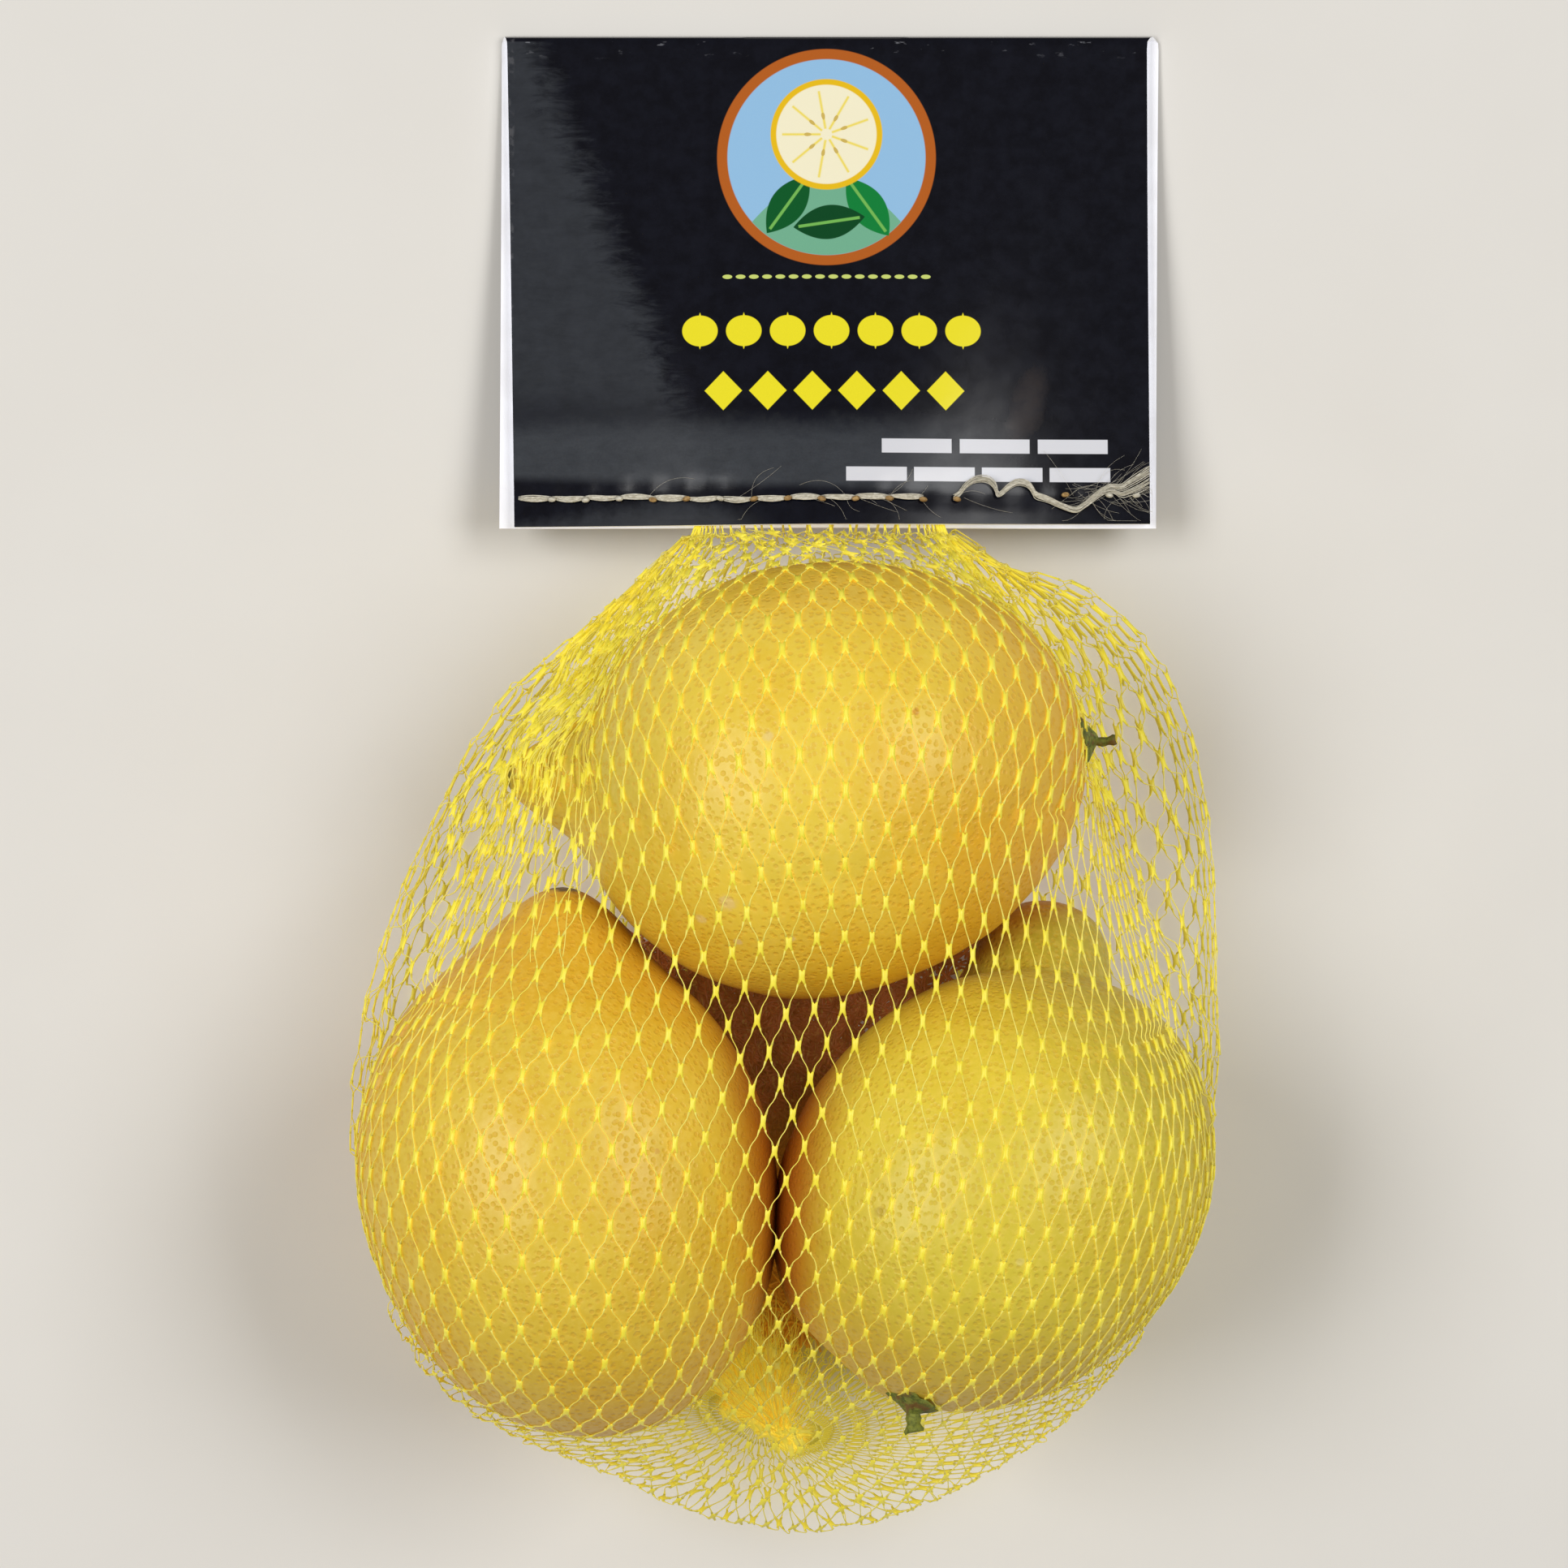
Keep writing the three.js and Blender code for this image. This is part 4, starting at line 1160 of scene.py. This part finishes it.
yellow_net = net_plastic("net_yellow", (248, 236, 78), (243, 226, 60), 0.15)
drawn_net = net_plastic("net_yellow_drawn", (244, 233, 114), (238, 222, 84), 0.10)
# The far side gets painted shade along y over the neck, under the card.
far_net = net_plastic("net_yellow_far_side", (240, 226, 84), (230, 212, 70), 0.18,
                      band=(24, 38, 0.4, (160, 132, 60)))
tail_net = net_plastic("net_yellow_tail", (252, 241, 100), (249, 230, 76), 0.15, 3.0, 0.0)
deep_net = net_plastic("net_yellow_tail_deep", (250, 226, 76), (244, 204, 54), 0.14, 3.0, 0.0)
# Painted shade in the gap between the fruit, turning yellower below y -48, towards the tail.
gap_shade_plastic = net_plastic("net_yellow_gap_shade", (214, 120, 66), (188, 98, 50), 0.028, 3.0, 0.0,
                      band=(-48, -64, 0.9, (255, 196, 74)))

net_draw = np.random.default_rng(8)
settled = into_card(draw_tight(first_lay(), 1500))
directions = net_frames(settled)
net_rows = np.arange(len(settled))
beside_it = np.linalg.norm(np.roll(settled, -1, axis=1) - settled, axis=2)
beside_it = np.minimum(beside_it, np.roll(beside_it, 1, axis=1))
count_from_edge = np.abs((np.arange(COLUMNS) + LEFT_COLUMN / 2) % LEFT_COLUMN - LEFT_COLUMN / 2)
rumpled = smooth(2.6, 1.3, beside_it) * smooth(MOUTH_Y + 1, MOUTH_Y - 3, settled[..., 1])
rumpled = rumpled * smooth(-34, -12, settled[..., 1])
rumpled = (rumpled * smooth(0, 3, count_from_edge))[..., None]
loose = smooth(5, 9, net_rows)[:, None] * smooth(28, 22, net_rows)[:, None]
loose = (loose * smooth(5, 3, count_from_edge) * smooth(0, 1, count_from_edge))[..., None]
for way, far in zip(directions, (0.26, 0.62, 0.3)):
    settled += way * rumpled * net_draw.normal(0, far, rumpled.shape)
    settled += way * loose * net_draw.normal(0, 0.5, rumpled.shape)
settled[..., 2] = np.maximum(settled[..., 2], 0.24)
settled = lay_on_skin(push_out(settled, 0.0), 0.15)
directions = net_frames(settled)

crowded = np.clip(beside_it / 2.0, 0.6, 1).ravel()
drawn_in = np.repeat(smooth(ROWS - 2, ROWS + 2, net_rows), COLUMNS)
web_wide = net_draw.uniform(0.78, 1.0, crowded.size) * crowded * (1 - 0.65 * drawn_in)
web_high = net_draw.uniform(0.84, 1.06, crowded.size) * (1.25 - 0.25 * crowded) * (1 - 0.5 * drawn_in)
web_size = np.stack([web_wide, web_high, np.ones(crowded.size)], -1)[:, None, :]
near_neck = np.repeat(smooth(16, 8, net_rows), COLUMNS)[:, None]
web_size[..., 0] *= 1 + 0.12 * near_neck
web_size[..., 1] *= 1 + 0.42 * near_neck
web_size[COLUMNS:5 * COLUMNS, :, 0] *= 0.4

runs, outs, starts = strands(settled, directions, web_size, 5, net_draw)
push_out(runs[:, 1:-1], 0.05)
runs = lay_on_skin(runs, 0.13)
runs[..., 2] = np.maximum(runs[..., 2], 0.2)
taper = STRAND_HALF + STRAND_FLARE * np.abs(np.linspace(-1, 1, 6)) ** 5
in_front_run = starts[:, 1] < LEFT_COLUMN
for side, first, last, chosen, plastic, drawn in (
        ("front", 0, LEFT_COLUMN, in_front_run, yellow_net, drawn_net),
        ("back", LEFT_COLUMN, COLUMNS, ~in_front_run, far_net, far_net)):
    frames_there = [d[:, first:last] for d in directions]
    sizes = web_size.reshape(*settled.shape[:2], 1, 3)[:, first:last].reshape(-1, 1, 3)
    piece("net_knots_" + side, *webs(settled[:, first:last], frames_there, sizes), [plastic],
          "net", "net_bag", casts_shadow=False)
    piece("net_" + side, *tubes(runs[chosen], taper, 4, outs[chosen]), [drawn],
          "net", "net_bag", casts_shadow=False)


def on_net(rows, columns):
    """Points on the net at rows and columns that may lie between its knots."""
    def on_row(whole):
        at = columns - 0.5 * (whole % 2)
        first = np.floor(at).astype(int)
        part = (at - first)[..., None]
        return mix(settled[whole, first % COLUMNS], settled[whole, (first + 1) % COLUMNS], part)
    whole = np.floor(rows).astype(int)
    return mix(on_row(whole), on_row(whole + 1), (rows - whole)[..., None])


def pleats(draw, count):
    """Slack strands of the pleats: down both sides of the upper lemon, and criss-cross over the neck."""
    t = np.linspace(0, 1, 20)
    place = draw.random((count, 1))
    left, right = place < PLEATS_LEFT, (place >= PLEATS_LEFT) & (place < PLEATS_SIDES)
    first = np.where(left | right, draw.uniform(2.1, 12, (count, 1)), draw.uniform(2.1, 3.0, (count, 1)))
    length = np.where(left | right, draw.uniform(4, 8, (count, 1)), draw.uniform(2.5, 4, (count, 1)))
    inward = np.where(left, draw.uniform(0.5, 9, (count, 1)), draw.uniform(4, 8.5, (count, 1)))
    inward = np.abs(inward + draw.uniform(-2.5, 2.5, (count, 1)) * t) + 0.3
    over = draw.uniform(9, 34, (count, 1)) + draw.uniform(-6, 6, (count, 1)) * t
    runs = on_net(first + length * t, np.where(left, LEFT_COLUMN - inward, np.where(right, inward, over)))
    out = unit(np.stack([np.where(left, -0.3, 0.3), np.zeros((count, 1)), np.ones((count, 1))], -1))
    runs = runs + out * draw.uniform(0.1, 0.7, (count, 1, 1)) * smooth(MOUTH_Y, MOUTH_Y - 4, runs[..., 1:2])
    far = draw.normal(0, 0.24, (count, 1, 3))
    wave = np.sin(draw.uniform(8, 16, (count, 1)) * t + first)[..., None]
    runs = push_out(runs + far * wave, 0.25)
    runs[..., 2] = np.maximum(runs[..., 2], 0.3)
    return runs


def add_pleats():
    draw = np.random.default_rng(17)
    runs = pleats(draw, PLEATS)
    middle = runs[:, 5:16:5].reshape(-1, 3)
    way = unit((runs[:, 6:17:5] - runs[:, 4:15:5]).reshape(-1, 3))
    side = unit(np.cross(way, np.array([0.0, 0.0, 1.0])))
    count = len(middle)
    size = np.stack([draw.uniform(0.5, 0.9, count), draw.uniform(0.8, 1.3, count), np.ones(count)], -1)
    piece("net_pleats", *tubes(runs, PLEAT_HALF, 4), [drawn_net], "net", "net_bag")
    piece("net_pleat_knots", *webs(middle, (side, way, np.cross(side, way)), size[:, None, :]), [yellow_net],
          "net", "net_bag", casts_shadow=False)


add_pleats()


# ------------------------------------------------------------------------------------------------ tail
def tail_fan(draw, count):
    """The net's loose end past the gather: it stands up in a fan between the two lower lemons."""
    t = np.linspace(0, 1, 9)[:, None]
    fan = draw.normal(0.10, 0.34, count)                 # turn from +Y, towards -X
    length = draw.uniform(6.0, 21.0, count) * (1 - 0.25 * np.abs(fan))
    lift = draw.uniform(0.1, 1.0, count)
    start = GATHER + draw.uniform(-6.5, 3.5, (count, 1)) * GATHER_ALONG + draw.uniform(-0.8, 0.8, (count, 3))
    start[:, 2] = draw.uniform(0.8, 2.6, count)
    away = np.stack([-np.sin(fan), np.cos(fan), np.zeros(count)], -1)
    end = start + away * length[:, None]
    end[:, 2] = 1.2 + lift * 1.15 * length
    leaving = unit(away * 0.6 + np.array([0, 0, 1.0])) * length[:, None] * 0.9
    arriving = unit(away + draw.normal(0, 0.5, (count, 3))) * length[:, None] * 0.8
    runs = hermite(start[:, None], end[:, None], leaving[:, None], arriving[:, None], t)
    sway = draw.normal(0, 0.35, (count, 1, 3)) * np.sin(math.pi * 2 * t + draw.uniform(0, 6, (count, 1, 1)))
    return runs + sway * t


def tail_crest(draw, count):
    """The crest of the gather: fibres that wind along it in a low, loose rope."""
    t = np.linspace(0, 1, 9)[:, None]
    first = draw.uniform(-8.5, 4.5, (count, 1))
    run = draw.uniform(2.5, 7.0, (count, 1))
    aside = draw.normal(0, 1.1, (count, 2))
    height = draw.uniform(1.2, 5.5, (count, 1))
    up = np.array([0, 0, 1.0])
    start = GATHER + first * GATHER_ALONG + aside[:, :1] * np.array([0.47, 0.88, 0])
    end = GATHER + np.minimum(first + run, 7.5) * GATHER_ALONG + aside[:, 1:] * np.array([0.47, 0.88, 0])
    bend = draw.normal(0, 1.0, (count, 3)) + (height * 1.6) * up
    return hermite(start[:, None], end[:, None], (bend + run * GATHER_ALONG)[:, None],
                   (run * GATHER_ALONG - bend)[:, None], t)


def gap_shade_fibres(draw, count):
    """Brown-orange fibres on the floor between the three lemons, which stand in for the deep shade there."""
    t = np.linspace(0, 1, 7)[:, None]
    down = draw.uniform(0, 1, count) ** 1.15
    y = mix(-20.0, -84.0, down)
    wide = mix(29.0, 3.0, smooth(0, 0.5, down))
    middle = mix(4.0, -0.6, smooth(0, 0.4, down))
    start = np.stack([middle + draw.uniform(-1, 1, count) * wide, y, draw.uniform(0.3, 2.4, count)], -1)
    turn = draw.uniform(0, FULL_TURN, count)
    heading = np.stack([np.cos(turn), np.sin(turn), np.zeros(count)], -1)
    sideways = np.stack([-np.sin(turn), np.cos(turn), np.zeros(count)], -1)
    length = draw.uniform(4, 11, (count, 1))
    bend = draw.uniform(-0.6, 0.6, (count, 1)) * length
    runs = start[:, None] + (heading * length)[:, None] * (t - 0.5)
    runs = runs + (sideways * bend)[:, None] * (2 * t - 1) ** 2
    runs[..., 2] += 0.4 * np.sin(FULL_TURN * t[:, 0] + turn[:, None])
    return runs


def in_gap(fibres):
    """Which fibres lie wholly in the gap between the three lemons, so that none shows out past them."""
    x, y = fibres[..., 0], fibres[..., 1]
    down = -24 - y
    past_left = x > np.clip(0.5 * down, 0, 18) + GAP_LEFT
    before_right = x < GAP_RIGHT - np.clip(0.6 * down, 0, 22)
    return ((y < GAP_TOP) & past_left & before_right).all(axis=1)


def add_tail():
    draw = np.random.default_rng(31)
    runs = np.concatenate([tail_fan(draw, FAN_FIBRES), tail_crest(draw, CREST_FIBRES)])
    mat = gap_shade_fibres(draw, GAP_SHADE_FIBRES)
    for fibres in (runs, mat):
        push_out(fibres, 0.2)
        fibres[..., 2] = np.maximum(fibres[..., 2], 0.3)
    piece("net_gap_shade_fibres", *tubes(mat[in_gap(mat)], GAP_SHADE_HALF, 4), [gap_shade_plastic],
          "net", "net_bag", casts_shadow=False)
    width = draw.uniform(0.08, 0.14, (len(runs), 1)) * (1.1 - 0.45 * np.linspace(0, 1, 9))
    chosen = draw.permutation(len(runs))[:TAIL_WEBS]
    heading = unit(runs[chosen, 6] - runs[chosen, 4])
    across = unit(np.cross(heading, [0, 0, 1.0]))
    basis = (across, heading, np.cross(across, heading))
    web_wide, web_high = draw.uniform(0.6, 1.0, TAIL_WEBS), draw.uniform(0.8, 1.2, TAIL_WEBS)
    size = np.stack([web_wide, web_high, np.ones(TAIL_WEBS)], -1)[:, None, :]
    piece("net_tail", *joined([tubes(runs[::2], width[::2], 4), webs(runs[chosen, 5], basis, size)]),
          [tail_net], "net", "net_bag", casts_shadow=False)
    piece("net_tail_deep", *tubes(runs[1::2], width[1::2], 4), [deep_net],
          "net", "net_bag", casts_shadow=False)


add_tail()


# ------------------------------------------------------------------------------------------------ studio
def add_softbox(name, place, long, wide, power):
    """A rectangular softbox that faces the bag, with its long side level."""
    lamp = bpy.data.lights.new(name, "AREA")
    lamp.shape, lamp.size, lamp.size_y, lamp.energy = "RECTANGLE", long, wide, power
    made = bpy.data.objects.new(name, lamp)
    bpy.context.scene.collection.objects.link(made)
    made.location = place
    made.rotation_euler = (Vector((0.0, -0.01, 0.03)) - Vector(place)).to_track_quat("-Z", "Y").to_euler()


bpy.ops.mesh.primitive_plane_add(size=3.0, location=(0, 0, -0.0001))
floor = bpy.context.active_object
floor.name = "floor"
floor_finish = Finish("floor_paper", roughness=0.8, specular=0.2)
floor.data.materials.append(floor_finish.wear(
    colour=floor_finish.blend(floor_finish.noise(40.0), paint(234, 232, 227), paint(229, 226, 220))))

add_softbox("softbox_left", (-0.78, 0.08, 1.05), 0.9, 0.55, 9.4)
add_softbox("softbox_right", (0.76, 0.24, 1.05), 0.9, 0.55, 8.6)
world = bpy.data.worlds.new("studio_air")
world.use_nodes = True
world.node_tree.nodes["Background"].inputs["Color"].default_value = (1.0, 0.92, 0.83, 1)
world.node_tree.nodes["Background"].inputs["Strength"].default_value = 0.16
bpy.context.scene.world = world
bpy.context.scene.view_settings.view_transform = "Standard"

camera = bpy.data.cameras.new("camera")
camera.lens, camera.sensor_width, camera.clip_end = 147.2, 36.0, 10.0
eye = bpy.data.objects.new("camera", camera)
bpy.context.scene.collection.objects.link(eye)
eye.location = (-0.0002, 0.0, 1.0)
bpy.context.scene.camera = eye
